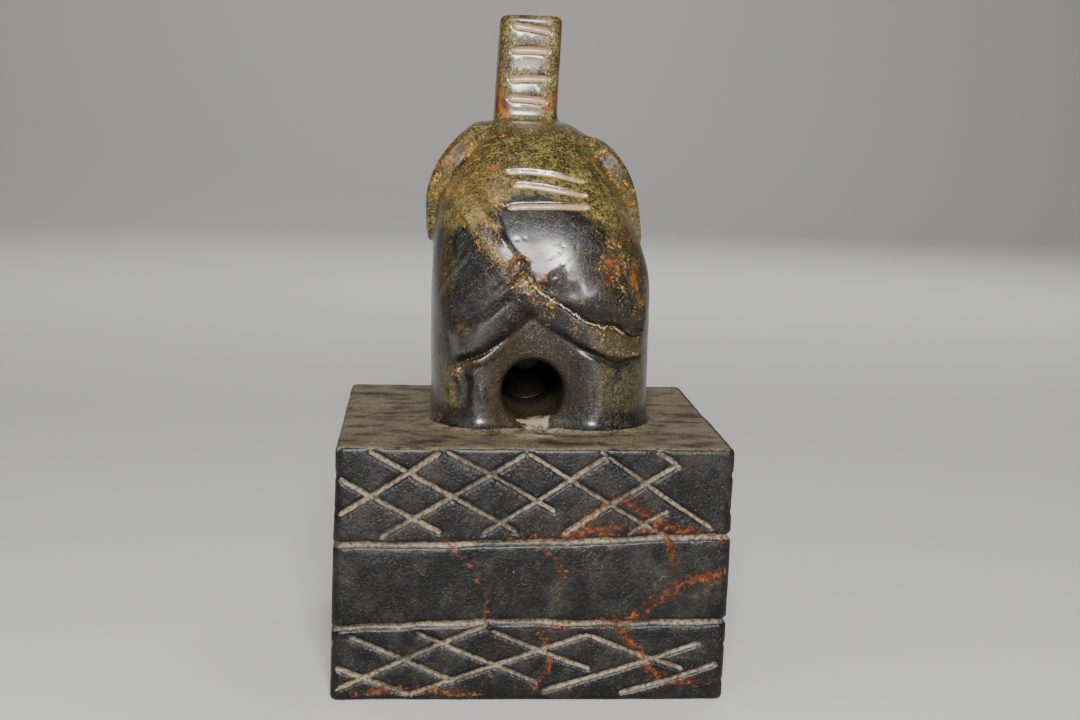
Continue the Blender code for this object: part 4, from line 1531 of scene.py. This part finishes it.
class StoneLayers:
    """Lays minerals, dust and wear one over another in a material."""

    def __init__(self, sheet: NodeSheet) -> None:
        """Takes the sheet to write in, and makes what all the layers share."""
        self.sheet = sheet
        self.place = sheet.add("ShaderNodeTexCoord").outputs["Object"]
        self.mottle = sheet.noise(self.place, 150.0, 7.0, 0.66)
        self.fine = sheet.noise(self.place, 900.0, 4.0, 0.65)
        self.speck_tree, self.grit_tree = speckle_group(), grit_group()
        self.crack_tree, self.grain_tree = crack_group(), grain_group()
        self.scratches = self.grouped(scratch_group(), {"Scale": 700.0, "Width": 0.02})

    def start(self, colour: Socket, rough: Socket) -> None:
        """The bare stone."""
        self.colour, self.rough = colour, rough

    def zone(self, name: str) -> Socket:
        """A value painted on the stone's points."""
        node = self.sheet.add("ShaderNodeAttribute", attribute_name=name, attribute_type="GEOMETRY")
        return node.outputs["Fac"]

    def patchy(self, name: str, ragged: float, low: float, high: float) -> Socket:
        """A painted zone with a ragged edge.

        Args:
            name: The zone.
            ragged: How far the mottling shifts its edge.
            low: The value below which nothing shows.
            high: The value above which it covers.

        Returns:
            The mask.
        """
        sheet = self.sheet
        shift = sheet.times(sheet.minus(self.mottle, 0.5), ragged)
        painted = self.zone(name)
        shift = sheet.times(shift, sheet.range(painted, 0.0, 0.25))
        return sheet.range(sheet.plus(painted, shift), low, high)

    def grouped(self, tree: bpy.types.NodeTree, inputs: dict) -> Socket:
        """Places an effect with its own values."""
        return self.sheet.add("ShaderNodeGroup", {"Vector": self.place, **inputs}, node_tree=tree).outputs[0]

    def specks(self, scale: float, share: object, soft: float, cluster: float = 0.4) -> Socket:
        """Specks of a mineral that cover about a share of the stone, loose or in clusters."""
        inputs = {"Scale": scale, "Share": share, "Soft": soft, "Cluster": cluster}
        return self.grouped(self.speck_tree, inputs)

    def grit(self, scale: float, share: object) -> Socket:
        """Small flecks of crystal that cover about a share of the stone."""
        return self.grouped(self.grit_tree, {"Scale": scale, "Share": share})

    def cracks(self, scale: float, width: float, share: object) -> Socket:
        """Jagged cracks where the share is high."""
        return self.grouped(self.crack_tree, {"Scale": scale, "Width": width, "Share": share})

    def lay(self, mask: Socket, colour: object, rough: float, cover: object = 1.0) -> None:
        """Lays a colour and a roughness over what is there.

        Args:
            mask: Where it lies.
            colour: A colour or a socket.
            rough: The layer's roughness.
            cover: How much it hides of what is under it.
        """
        sheet = self.sheet
        share = sheet.times(mask, cover)
        self.colour = sheet.mix(share, self.colour, colour)
        self.rough = sheet.mix_values(share, self.rough, rough)

    def close(self, veins: Socket, gold: Socket) -> None:
        """Adds the fine relief and closes the material.

        Args:
            veins: Where the veins are, which lie a little lower.
            gold: Where the gold is, which lies a little lower too.
        """
        sheet = self.sheet
        grain = self.grouped(self.grain_tree, {"Scale": 1900.0})
        height = sheet.plus(sheet.times(grain, 0.62), sheet.times(self.mottle, 0.55))
        height = sheet.plus(height, sheet.times(sheet.noise(self.place, 620.0, 3.0, 0.6), 0.55))
        for mask, depth in ((veins, 0.8), (gold, 0.3), (self.scratches, 0.25)):
            height = sheet.minus(height, sheet.times(mask, depth))
        relief = sheet.add("ShaderNodeBump", {"Strength": 0.9, "Distance": 0.24 * MM, "Height": height})
        shader = sheet.add("ShaderNodeBsdfPrincipled", {
            "Base Color": self.colour, "Roughness": self.rough, "Normal": relief.outputs[0],
            "Coat Weight": sheet.plus(sheet.times(self.zone("polish"), 0.90), 0.05), "Coat Roughness": 0.24,
            "IOR": 1.28,
        })
        sheet.add("ShaderNodeOutputMaterial", {0: shader.outputs[0]})


def start_group(name: str, inputs: dict, output: str) -> tuple:
    """Starts a shader node group.

    Args:
        name: The group's name.
        inputs: Its named number inputs and their first values, after its Vector input.
        output: The name of what it puts out.

    Returns:
        The sheet to write in and the group's inlet.
    """
    tree = bpy.data.node_groups.new(name, "ShaderNodeTree")
    tree.interface.new_socket("Vector", in_out="INPUT", socket_type="NodeSocketVector")
    for key, value in inputs.items():
        tree.interface.new_socket(key, in_out="INPUT", socket_type="NodeSocketFloat").default_value = value
    tree.interface.new_socket(output, in_out="OUTPUT", socket_type="NodeSocketFloat")
    sheet = NodeSheet(tree)
    return sheet, sheet.add("NodeGroupInput").outputs


def speckle_group() -> bpy.types.NodeTree:
    """Specks of mineral, loose or in clusters.

    Returns:
        A group whose mask covers about the asked share of the surface.
    """
    inputs = {"Scale": 900.0, "Share": 0.3, "Soft": 0.1, "Cluster": 0.4}
    sheet, inlet = start_group("mineral_specks", inputs, "Mask")
    small = sheet.noise(inlet["Vector"], inlet["Scale"], 4.0, 0.7)
    large = sheet.noise(inlet["Vector"], sheet.times(inlet["Scale"], 0.17), 3.0, 0.5)
    both = sheet.mix_values(inlet["Cluster"], small, large)
    level = sheet.minus(0.68, sheet.times(inlet["Share"], 0.26))
    over = sheet.over(sheet.minus(both, level), sheet.times(inlet["Soft"], 0.5), clamp=True)
    sheet.add("NodeGroupOutput", {0: sheet.times(over, sheet.range(inlet["Share"], 0.0, 0.12))})
    return sheet.tree


def grit_group() -> bpy.types.NodeTree:
    """Small flecks of crystal.

    Returns:
        A group whose mask covers about the asked share of the surface.
    """
    sheet, inlet = start_group("crystal_grit", {"Scale": 2400.0, "Share": 0.2}, "Mask")
    inputs = {"Vector": inlet["Vector"], "Scale": inlet["Scale"]}
    cells = sheet.add("ShaderNodeTexVoronoi", inputs, feature="F1")
    chance = sheet.add("ShaderNodeSeparateColor", {0: cells.outputs["Color"]}).outputs[0]
    picked = sheet.math("GREATER_THAN", chance, sheet.minus(1.0, inlet["Share"]))
    body = sheet.range(cells.outputs["Distance"], 0.80, 0.40)
    sheet.add("NodeGroupOutput", {0: sheet.times(picked, body)})
    return sheet.tree


def scratch_group() -> bpy.types.NodeTree:
    """Fine scratches that run roughly one way.

    Returns:
        A group whose mask shows thin broken lines.
    """
    sheet, inlet = start_group("fine_scratches", {"Scale": 700.0, "Width": 0.02}, "Mask")
    inputs = {0: inlet["Vector"], 2: (0.25, 0.60, 0.15), 3: (1.0, 1.0, 16.0)}
    along = sheet.add("ShaderNodeMapping", inputs, vector_type="TEXTURE").outputs[0]
    off = sheet.math("ABSOLUTE", sheet.minus(sheet.noise(along, inlet["Scale"], 2.0, 0.5), 0.5))
    line = sheet.minus(1.0, sheet.over(off, inlet["Width"]), clamp=True)
    kept = sheet.range(sheet.noise(inlet["Vector"], 130.0, 3.0, 0.6), 0.50, 0.64)
    sheet.add("NodeGroupOutput", {0: sheet.times(line, kept)})
    return sheet.tree


def crack_group() -> bpy.types.NodeTree:
    """Jagged rusty cracks with branches.

    Returns:
        A group whose mask shows them only where their share is high.
    """
    sheet, inlet = start_group("rust_cracks", {"Scale": 90.0, "Width": 0.05, "Share": 0.5}, "Mask")
    inputs = {"Vector": inlet["Vector"], "Scale": 330.0, "Detail": 5.0}
    bend = sheet.scaled(sheet.add("ShaderNodeTexNoise", inputs).outputs[1], 6.0 * MM)
    inputs = {"Vector": sheet.shifted(inlet["Vector"], bend), "Scale": inlet["Scale"]}
    edge = sheet.add("ShaderNodeTexVoronoi", inputs, feature="DISTANCE_TO_EDGE").outputs["Distance"]
    net = sheet.minus(1.0, sheet.over(edge, inlet["Width"]), clamp=True)
    contour = sheet.math("ABSOLUTE", sheet.minus(sheet.noise(inlet["Vector"], 210.0, 7.0, 0.7), 0.5))
    thread = sheet.minus(1.0, sheet.over(contour, sheet.times(inlet["Width"], 0.4)), clamp=True)
    line = sheet.math("MAXIMUM", net, thread)
    ragged = sheet.noise(inlet["Vector"], 800.0, 4.0, 0.7)
    level = sheet.plus(inlet["Share"], sheet.minus(ragged, 0.5))
    shown = sheet.times(sheet.range(line, 0.0, 0.5), sheet.range(level, 0.42, 0.62))
    sheet.add("NodeGroupOutput", {0: sheet.times(shown, sheet.range(inlet["Share"], 0.0, 0.3))})
    return sheet.tree


def grain_group() -> bpy.types.NodeTree:
    """Fine crystalline grain.

    Returns:
        A group that puts out its height.
    """
    sheet, inlet = start_group("fine_grain", {"Scale": 1600.0}, "Height")
    soft = sheet.noise(inlet["Vector"], inlet["Scale"], 3.0, 0.65)
    inputs = {"Vector": inlet["Vector"], "Scale": sheet.times(inlet["Scale"], 0.6)}
    cells = sheet.add("ShaderNodeTexVoronoi", inputs, feature="F1").outputs["Distance"]
    sheet.add("NodeGroupOutput", {0: sheet.plus(soft, sheet.times(cells, 0.4))})
    return sheet.tree


def read_points(mesh: bpy.types.Mesh) -> Array:
    """A mesh's points.

    Args:
        mesh: The mesh.

    Returns:
        One row for each point, in metres.
    """
    flat = np.empty(len(mesh.vertices) * 3, np.float32)
    mesh.vertices.foreach_get("co", flat)
    return flat.reshape(-1, 3).astype(np.float64)


@dataclass
class StonePlaces:
    """Where each point of the stone lies: on which part of it, and how near to its carved forms.

    Lengths are in millimetres, and heights are above the block's top. All the rest are shares from 0 to 1.
    """

    figure: ElephantFigure
    places: Array
    stone: StoneField

    def __post_init__(self) -> None:
        """Measures what more than one zone asks for."""
        skin = self.figure.skin
        self.forms = self.figure.rump_forms()
        self.local = self.places - (skin.centre_x, 0.0, self.figure.block_top)
        self.x, self.y, self.h = self.local.T
        self.off_trunk = np.abs(self.x - self.figure.trunk_x(self.h))
        self.hollow = self.stone.hollows(self.places, 4)
        self.find_parts()
        self.find_flanks()
        self.find_opening()
        self.folds = self.find_folds()

    def find_parts(self) -> None:
        """Tells the block, the rump, the trunk, the ears and the legs apart."""
        x, y, h = self.x, self.y, self.h
        above = h > 0.6
        self.on_block = h < 0
        self.on_figure = smooth_step(0.0, 1.5, h) * above
        self.rear = smooth_step(6.0, -8.0, y)
        self.dome = smooth_step(50.0, 64.0, h)
        self.slate_back = bump(x, 1.0, 17.0) * smooth_step(67.0, 57.0, h) * smooth_step(-4.0, -12.0, y)
        self.trunk_root = bump(h, 79.8, 3.6) * bump(x, 0.5, 12.0) * self.rear
        self.trunk = smooth_step(79.5, 82.0, h) * (np.abs(y - self.figure.trunk_y) < 11)
        self.foot = smooth_step(7.0, 2.5, h) * above
        self.legs = smooth_step(22.0, 14.0, h) * smooth_step(9.0, 14.0, np.abs(x))
        self.ear = self.ear_rear()
        self.strap = np.maximum(self.along("strap_high", 4.4), 0.9 * self.along("strap_low", 4.6))
        self.crest = self.along("overhang", 5.5) * (h > 32.5)
        table = smooth_step(1.3, 0.4, h) * smooth_step(-2.2, -0.9, h)
        table = table * smooth_step(49.4, 48.4, np.abs(self.places[:, 0]))
        self.table = table * smooth_step(49.8, 48.8, np.abs(y))

    def find_flanks(self) -> None:
        """Tells the right and left sides of the body apart."""
        x, h = self.x, self.h
        self.right = smooth_step(9.0, 20.0, x)
        self.left = smooth_step(-14.0, -25.0, x)
        self.low_right = smooth_step(6.0, 15.0, x) * smooth_step(60.0, 46.0, h)
        self.low_left = smooth_step(-16.0, -24.0, x) * smooth_step(60.0, 44.0, h)
        self.right_flank = self.right * bump(h, 44.0, 26.0)
        self.red_flank = bump(x, 26.0, 9.0) * bump(h, 40.0, 15.0)
        self.shoulder = bump(x, -13.0, 15.0) * bump(h, 60.0, 22.0)

    def find_opening(self) -> None:
        """Finds the niche round the drilled way, the way's wall, and its pale worn sill."""
        x, y, h = self.x, self.y, self.h
        from_middle = np.hypot(x, h - 10.5)
        niche = smooth_step(19.0, 9.5, from_middle) * smooth_step(-14.0, -20.0, y)
        self.niche = niche * smooth_step(0.0, 2.0, h)
        self.inner = (from_middle < 8.9) & (np.abs(y - 3) < 34)
        self.depth_in = y - self.figure.skin.rear
        sill = bump(x, 0.3, 12.0) * smooth_step(4.6, 1.6, h) * smooth_step(-0.8, 0.2, h)
        self.sill = sill * smooth_step(-42.0, -34.0, y) * smooth_step(-16.0, -22.0, y)

    def measured(self, name: str, margin: float) -> tuple:
        """Reads the points near one of the rump's forms.

        Args:
            name: The form.
            margin: How far from it a point still counts.

        Returns:
            Which points are near, and the share of the way along, the distance to the upper side and the
            plain distance of those.
        """
        path = self.figure.skin.path(self.forms[name].outline)
        close = path.close_to(self.local, margin)
        return close, *path.measure(self.local[close])

    def along(self, name: str, wide: float) -> Array:
        """How near each point is to one of the rump's forms, down to 0 at a distance."""
        close, _, _, plain = self.measured(name, wide + 2)
        found = np.zeros(len(self.local))
        found[close] = smooth_step(wide, 0.5 * wide, plain)
        return found

    def undercut(self, name: str) -> Array:
        """The hollow under an overhanging lip, between its crease and its crest.

        Args:
            name: The lip's form.

        Returns:
            A share for each point.
        """
        close, share, side, plain = self.measured(name, 8)
        reach = self.forms[name].half * blend(0.10, 0.34, smooth_step(0.25, 0.60, share))
        beyond = np.maximum(plain**2 - side**2, 0.0) ** 0.5
        across = smooth_step(0.0, 0.5, side) * smooth_step(reach + 0.8, reach - 0.8, side)
        found = np.zeros(len(self.local))
        found[close] = across * smooth_step(0.05, 0.3, share) * smooth_step(2.0, 0.5, beyond)
        return found

    def ear_rear(self) -> Array:
        """The rear-facing band of each ear, as 1 or 0."""
        outside = ~self.figure.skin.inside(self.local)
        return (outside & (np.abs(self.y + 3.2) < 1.6) & (self.h > 44) & (self.h < 81)).astype(float)

    def find_folds(self) -> Array:
        """How deep in a fold or a crease of the rump each point lies."""
        found = 0.75 * self.undercut("overhang")
        for strength, name, wide in (
            (0.85, "roll_edge", 1.5), (0.85, "low_crease", 1.2), (0.85, "left_shade", 2.0),
            (0.45, "strap_left_edge", 1.5), (0.45, "strap_groove", 1.5), (0.45, "pit", 1.5),
        ):
            found = np.maximum(found, strength * self.along(name, wide))
        return found


@dataclass
class StonePainter:
    """Paints on the stone's points where each mineral, dust and wear shows."""

    spots: StonePlaces
    veins: tuple = (
        ((-22.0, 42.0), (-15.0, 34.0), (-11.5, 26.0), (-11.0, 20.0)),
        ((-1.0, 44.0), (4.0, 38.0), (8.5, 33.0)),
        ((6.0, 19.5), (18.0, 20.5), (26.0, 22.0), (37.0, 30.0), (48.0, 34.0)),
        ((-6.0, 41.5), (8.0, 42.5), (20.0, 44.5), (32.0, 43.5), (36.0, 36.0)),
        ((2.0, 19.0), (5.0, 11.0), (1.0, 3.0)),
        ((22.0, 20.0), (27.0, 13.0), (34.0, 6.0), (44.0, 5.0)),
        ((12.0, 46.0), (22.0, 52.0), (34.0, 45.0), (49.0, 42.0)),
        ((-45.0, 2.0), (-30.0, 3.0), (-10.0, 2.0)),
    )
    vein_reach: float = 6.0
    face_y: float = -47.5
    face_top: float = 64.5

    def __post_init__(self) -> None:
        """Starts without a zone, and reads how rusty the block's faces are."""
        self.zones = {}
        self.rusty, self.near_vein = self.face_veins()

    def paint(self, mesh: bpy.types.Mesh) -> None:
        """Stores the zones as values on the points.

        Args:
            mesh: The stone's mesh.
        """
        self.minerals()
        self.cracks()
        self.dust()
        self.wear()
        self.shadows()
        for name, values in self.zones.items():
            layer = mesh.attributes.new(name, "FLOAT", "POINT")
            layer.data.foreach_set("value", np.clip(values, 0.0, 1.0).astype(np.float32))

    def minerals(self) -> None:
        """Where olive, tan and gold, and rust show."""
        at = self.spots
        knob, pebble = at.along("knob", 2.2), at.along("left_pebble", 2.8)
        middle = bump(at.places[:, 2], 30.0, 14.0)
        olive = np.clip(at.dome + 0.42 * at.right + 0.34 * at.left + 0.35 * (1 - at.rear), 0, 0.9)
        olive = olive - 0.75 * at.slate_back - 0.8 * at.trunk_root + 0.22 * at.strap * at.rear + 0.25 * at.ear
        olive = olive + 0.04 * at.legs - 0.35 * at.foot + 0.14
        olive = olive - 0.55 * at.trunk * smooth_step(6.0, 3.0, at.off_trunk)
        tan = 0.34 * at.strap * at.rear + 0.42 * at.shoulder + 0.31 * at.right_flank + 0.02 * at.dome + 0.19
        tan = tan + 0.35 * at.ear + 0.2 * at.crest + 0.5 * knob + 0.4 * pebble
        rust = 0.46 * at.right_flank + 0.34 * at.shoulder + 0.26 * at.left + 0.16 + 0.25 * at.ear
        rust = rust + 0.3 * at.crest + 0.14 * at.red_flank + 0.35 * knob
        rust = rust + 0.50 * at.trunk * smooth_step(4.5, 8.0, at.off_trunk)
        rust = rust + 0.50 * at.trunk * smooth_step(90.0, 82.0, at.h)
        root = at.trunk * smooth_step(91.0, 84.0, at.h) * smooth_step(2.0, 6.0, at.off_trunk)
        self.zones |= {
            "olive": at.on_figure * olive + at.on_block * (0.08 + 0.12 * middle),
            "tan": np.minimum(0.60, at.on_figure * tan) + 0.06 * at.on_block + 0.10 * self.rusty,
            "rust": np.minimum(0.62, at.on_figure * rust) + 0.34 * self.rusty + 0.26 * at.table + 0.32 * root,
        }

    def cracks(self) -> None:
        """Where the pale crack above the strap and the rusty veins run."""
        at = self.spots
        close, near_share, near_side, _ = at.measured("overhang", 4)
        share, side = np.zeros(len(at.local)), np.full(len(at.local), 99.0)
        share[close], side[close] = near_share, near_side
        beside_way = 0.2 * at.niche * smooth_step(2.0, 6.0, np.abs(at.x))
        self.zones |= {
            "crack": smooth_step(0.10, 0.22, share) * smooth_step(0.90, 0.72, share),
            "crack_side": 0.5 + side / 8.0,
            "vein": self.rusty + 0.20 * at.on_figure + beside_way,
            "vein_path": self.near_vein,
        }

    def dust(self) -> None:
        """Where light dust, earth and pale chalk lie, and a painted pool of light on the near floor of the
        drilled way.
        """
        at = self.spots
        edge = smooth_step(-0.12, -0.40, at.hollow)
        dusty = 0.22 + 0.6 * at.along("strap_high", 4.4) + 0.15 * at.ear + 0.25 * at.slate_back
        dusty = dusty + 0.8 * at.trunk * smooth_step(7.5, 5.0, at.off_trunk) - 0.2 * at.dome * (1 - at.trunk)
        dusty = dusty - 0.2 * at.niche - 0.2 * at.along("strap_low", 4.6)
        # painted light: the drilled way's floor is pale near its rear opening
        way_floor_light = at.inner * smooth_step(6.0, 3.6, at.h) * smooth_step(9.0, 4.0, at.depth_in)
        self.zones |= {
            "dusty": at.on_figure * dusty + 0.4 * at.table,
            "pale": 0.78 * at.sill + 0.30 * edge * (at.h < -2) + 0.42 * way_floor_light,
            "earth": np.maximum.reduce([
                0.74 * at.niche, 0.95 * at.inner, 0.38 * at.ear, 0.75 * at.along("ledge", 2.2),
                0.10 * at.strap * at.rear, 0.55 * at.along("left_pebble", 2.8), 0.27 * (at.h < -1.5),
            ]),
            "table": at.table,
        }

    def wear(self) -> None:
        """Where the stone is polished or dull, and where painted shade darkens the lower flanks and the
        niche, with a darker tone on the ears.
        """
        at = self.spots
        dull = smooth_step(1.0, 0.3, at.along("overhang", 1.0)) * at.along("overhang", 9.5)
        dull = dull * smooth_step(29.0, 33.0, at.h)
        # painted shade on the lower flanks and in the niche, and a darker tone on the ears
        shade_and_dark_tone = np.maximum(0.95 * at.low_right, 0.80 * at.low_left) * (1 - 0.25 * at.legs)
        shade_and_dark_tone = shade_and_dark_tone + 0.60 * at.niche + 0.80 * at.ear
        polish = at.on_figure * (1 - at.table) * (1 - at.inner) * (1 - 0.7 * at.folds) * (1 - at.ear)
        polish = polish * (1 - 0.8 * dull) * (1 - 0.8 * at.niche) * (1 - 0.45 * at.low_right)
        self.zones |= {
            "polish": polish,
            "dull": dull,
            "shade_and_dark_tone": shade_and_dark_tone * at.on_figure * at.rear,
            "hollow": smooth_step(0.03, 0.45, at.hollow),
        }

    def shadows(self) -> None:
        """Where painted shade darkens the rump's folds and creases, and where painted shadow blackens the
        inside of the drilled way.
        """
        at = self.spots
        # painted shadow inside the drilled way: black above a wavy line and deeper than about 24 to 32 mm
        wavy = 5.6 + 0.7 * np.sin(at.x * 1.3) + 0.4 * np.sin(at.y * 0.5)
        roof = smooth_step(wavy, wavy + 2.2, at.h) * smooth_step(2.5, 5.0, at.depth_in)
        self.zones |= {
            # painted shade in the rump's folds and creases
            "shade": at.folds * at.rear * at.on_figure,
            # painted shadow inside the drilled way
            "bore_shadow": at.inner * np.maximum(smooth_step(24.0, 32.0, at.depth_in), roof),
        }

    def face_veins(self) -> tuple:
        """Where rust has crept through the block's faces.

        Returns:
            How rusty each point is, and how near a vein it lies.
        """
        x, y, z = self.spots.places.T
        rusty, near_vein = np.zeros(len(x)), np.zeros(len(x))
        face = (y < self.face_y) & (z < self.face_top)
        on_face = np.stack((x[face], z[face]), axis=1)
        best = np.full(len(on_face), 99.0)
        for row in self.veins:
            line = curve_through(row, 40)
            best = np.minimum(best, np.sqrt(((on_face[:, None] - line[None]) ** 2).sum(axis=2)).min(axis=1))
        to_right = smooth_step(-5.0, 30.0, on_face[:, 0])
        rusty[face] = 0.12 + 0.12 * to_right + np.clip(1 - best / 3.2, 0, 1) * (0.30 + 0.25 * to_right)
        near_vein[face] = np.clip(1 - best / self.vein_reach, 0, 1)
        sides = (z < self.face_top) & ~face
        waves = np.sin(x[sides] / 9.0 + 1) * np.sin(z[sides] / 13.0) * np.sin(y[sides] / 11.0)
        rusty[sides] = 0.34 + 0.16 * waves
        return rusty, near_vein


@dataclass
class CarvedStone:
    """The whole piece: the elephant and its block, cut from one stone."""

    block: SealBlock = field(default_factory=SealBlock)
    figure: ElephantFigure = field(default_factory=ElephantFigure)
    cutter: LineCutter = field(default_factory=LineCutter)
    weathering: SkinWeathering = field(default_factory=SkinWeathering)
    finish: StoneFinish = field(default_factory=StoneFinish)
    field_low: tuple = (-54.0, -54.0, -4.0)
    field_high: tuple = (54.0, 54.0, 178.0)
    waves: tuple = ((14.0, 0.10), (5.0, 0.045))

    def build(self) -> Thing:
        """Shapes, cuts, weathers, thins and dresses the stone.

        Returns:
            The finished piece, in its place in the frame.
        """
        rng = np.random.default_rng(SEED)
        stone = StoneField(np.array(self.field_low), np.array(self.field_high))
        self.block.add_to(stone)
        self.figure.add_to(stone)
        stone.values += stone.unevenness(self.waves, rng)
        shell = stone.surface()
        log.info("shaped %d points", len(shell.points))
        mesh = bpy.data.meshes.new(PIECE)
        mesh.from_pydata(shell.points * MM, [], shell.quads)
        mesh.update()
        thing = place_object(PIECE, mesh)
        finish = self.finish.build()
        lines = self.block.carved_lines(rng) + self.figure.carved_lines()
        for line in lines:
            line.points = stone.lay_down(line.points)
        self.cutter.cut(thing, lines, finish)
        self.weathering.wear(thing, finish)
        self.thin_out(thing)
        StonePainter(StonePlaces(self.figure, read_points(thing.data) / MM, stone)).paint(thing.data)
        thing.data.shade_smooth()
        return thing

    def thin_out(self, thing: Thing) -> None:
        """Thins the mesh to its budget, most of all where it is plain.

        Args:
            thing: The piece.
        """
        count = sum(len(face.vertices) - 2 for face in thing.data.polygons)
        step = thing.modifiers.new("thin_out", "DECIMATE")
        step.ratio = min(1.0, TRIANGLES / count)
        settle(thing)
        log.info("thinned %d triangles to %d faces", count, len(thing.data.polygons))


@dataclass(frozen=True)
class SoftLight:
    """A soft square light that looks at a target. Without shine it isn't mirrored in polished stone."""

    name: str
    place: tuple
    size: float
    power: float
    target: tuple = (0.0, 0.0, 0.09)
    shine: bool = True

    def build(self) -> None:
        """Hangs the light in the studio."""
        data = bpy.data.lights.new(self.name, "AREA")
        data.shape = "SQUARE"
        data.size = self.size
        data.energy = self.power
        thing = place_object(self.name, data)
        thing.location = self.place
        thing.rotation_euler = (Vector(self.target) - Vector(self.place)).to_track_quat("-Z", "Y").to_euler()
        thing.visible_glossy = self.shine


@dataclass
class Studio:
    """A plain pale floor, soft lights and the camera at the photograph's angle. Lengths are in metres."""

    focal_pixels: float = 1748.0
    picture_width: float = 1080.0
    sensor_width: float = 36.0
    pitch: float = math.radians(8.2132)
    yaw: float = math.radians(3.8946)
    roll: float = math.radians(1.1653)
    camera_place: tuple = (-0.02807, -0.47353, 0.14834)
    floor_half: float = 3.0
    floor_near: float = -1.4
    floor_far: float = 1.6
    floor_curve: float = 0.9
    floor_top: float = 3.2
    floor_colour: tuple = (0.44, 0.435, 0.425, 1.0)
    room_colour: tuple = (0.75, 0.77, 0.80, 1.0)
    room_strength: float = 0.05
    lights: tuple = (
        SoftLight("key", (-0.02, -0.80, 0.43), 0.22, 20.0),
        SoftLight("overhead", (-0.25, -0.35, 1.10), 0.8, 2.0),
        SoftLight("left_fill", (-1.1, -0.3, 0.5), 0.8, 1.0),
        SoftLight("right_fill", (1.1, -0.2, 0.5), 0.8, 1.0),
        SoftLight("far_fill", (0.45, 0.95, 0.85), 0.8, 9.0, shine=False),
        SoftLight("far_left_fill", (-1.0, 0.7, 0.6), 0.8, 3.5, shine=False),
        SoftLight("backdrop", (0.0, 0.9, 1.3), 1.2, 20.0, target=(0.0, 2.6, 0.6)),
    )

    def floor(self) -> Thing:
        """A wide pale floor that curves up far behind the piece.

        Returns:
            The floor.
        """
        far, curve = self.floor_far, self.floor_curve
        profile = [(self.floor_near, 0.0), (far, 0.0)]
        for turn in np.linspace(0.1, 0.5 * np.pi, 12):
            profile.append((far + curve * math.sin(turn), curve * (1 - math.cos(turn))))
        profile.append((far + curve, self.floor_top))
        builder = bmesh.new()
        sides = (-self.floor_half, self.floor_half)
        rows = [[builder.verts.new((x, y, z)) for x in sides] for y, z in profile]
        for low, high in zip(rows, rows[1:]):
            builder.faces.new((low[0], low[1], high[1], high[0]))
        mesh = bpy.data.meshes.new("floor")
        builder.to_mesh(mesh)
        builder.free()
        mesh.shade_smooth()
        pale = bpy.data.materials.new("pale_floor")
        pale.use_nodes = True
        shader = pale.node_tree.nodes["Principled BSDF"]
        shader.inputs["Base Color"].default_value = self.floor_colour
        shader.inputs["Roughness"].default_value = 0.9
        mesh.materials.append(pale)
        return place_object("floor", mesh)

    def camera(self) -> None:
        """The camera, where it stood for the photograph."""
        data = bpy.data.cameras.new("photo_camera")
        data.sensor_width = self.sensor_width
        data.lens = self.sensor_width * self.focal_pixels / self.picture_width
        data.clip_start = 0.01
        forward = Vector((
            math.sin(self.yaw) * math.cos(self.pitch), math.cos(self.yaw) * math.cos(self.pitch),
            -math.sin(self.pitch),
        ))
        right = Vector((math.cos(self.yaw), -math.sin(self.yaw), 0.0))
        up = right.cross(forward)
        turned_right = right * math.cos(self.roll) + up * math.sin(self.roll)
        turned_up = up * math.cos(self.roll) - right * math.sin(self.roll)
        matrix = Matrix((turned_right, turned_up, -forward)).transposed().to_4x4()
        matrix.translation = Vector(self.camera_place)
        thing = place_object("photo_camera", data)
        thing.matrix_world = matrix
        bpy.context.scene.camera = thing

    def build(self) -> None:
        """Sets up the floor, the lights, the world and the camera."""
        self.floor()
        for light in self.lights:
            light.build()
        world = bpy.data.worlds.new("soft_room")
        world.use_nodes = True
        background = world.node_tree.nodes["Background"]
        background.inputs["Color"].default_value = self.room_colour
        background.inputs["Strength"].default_value = self.room_strength
        bpy.context.scene.world = world
        self.camera()


def main() -> None:
    """Builds the stone and its studio."""
    logging.basicConfig(level=logging.INFO, format="%(name)s: %(message)s")
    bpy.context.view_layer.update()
    stone = CarvedStone().build()
    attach(stone, "root")
    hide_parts(NODE)
    log.info("%s: %d points", stone.name, len(stone.data.vertices))
    Studio().build()
    bpy.context.view_layer.update()


if __name__ == "__main__":
    main()
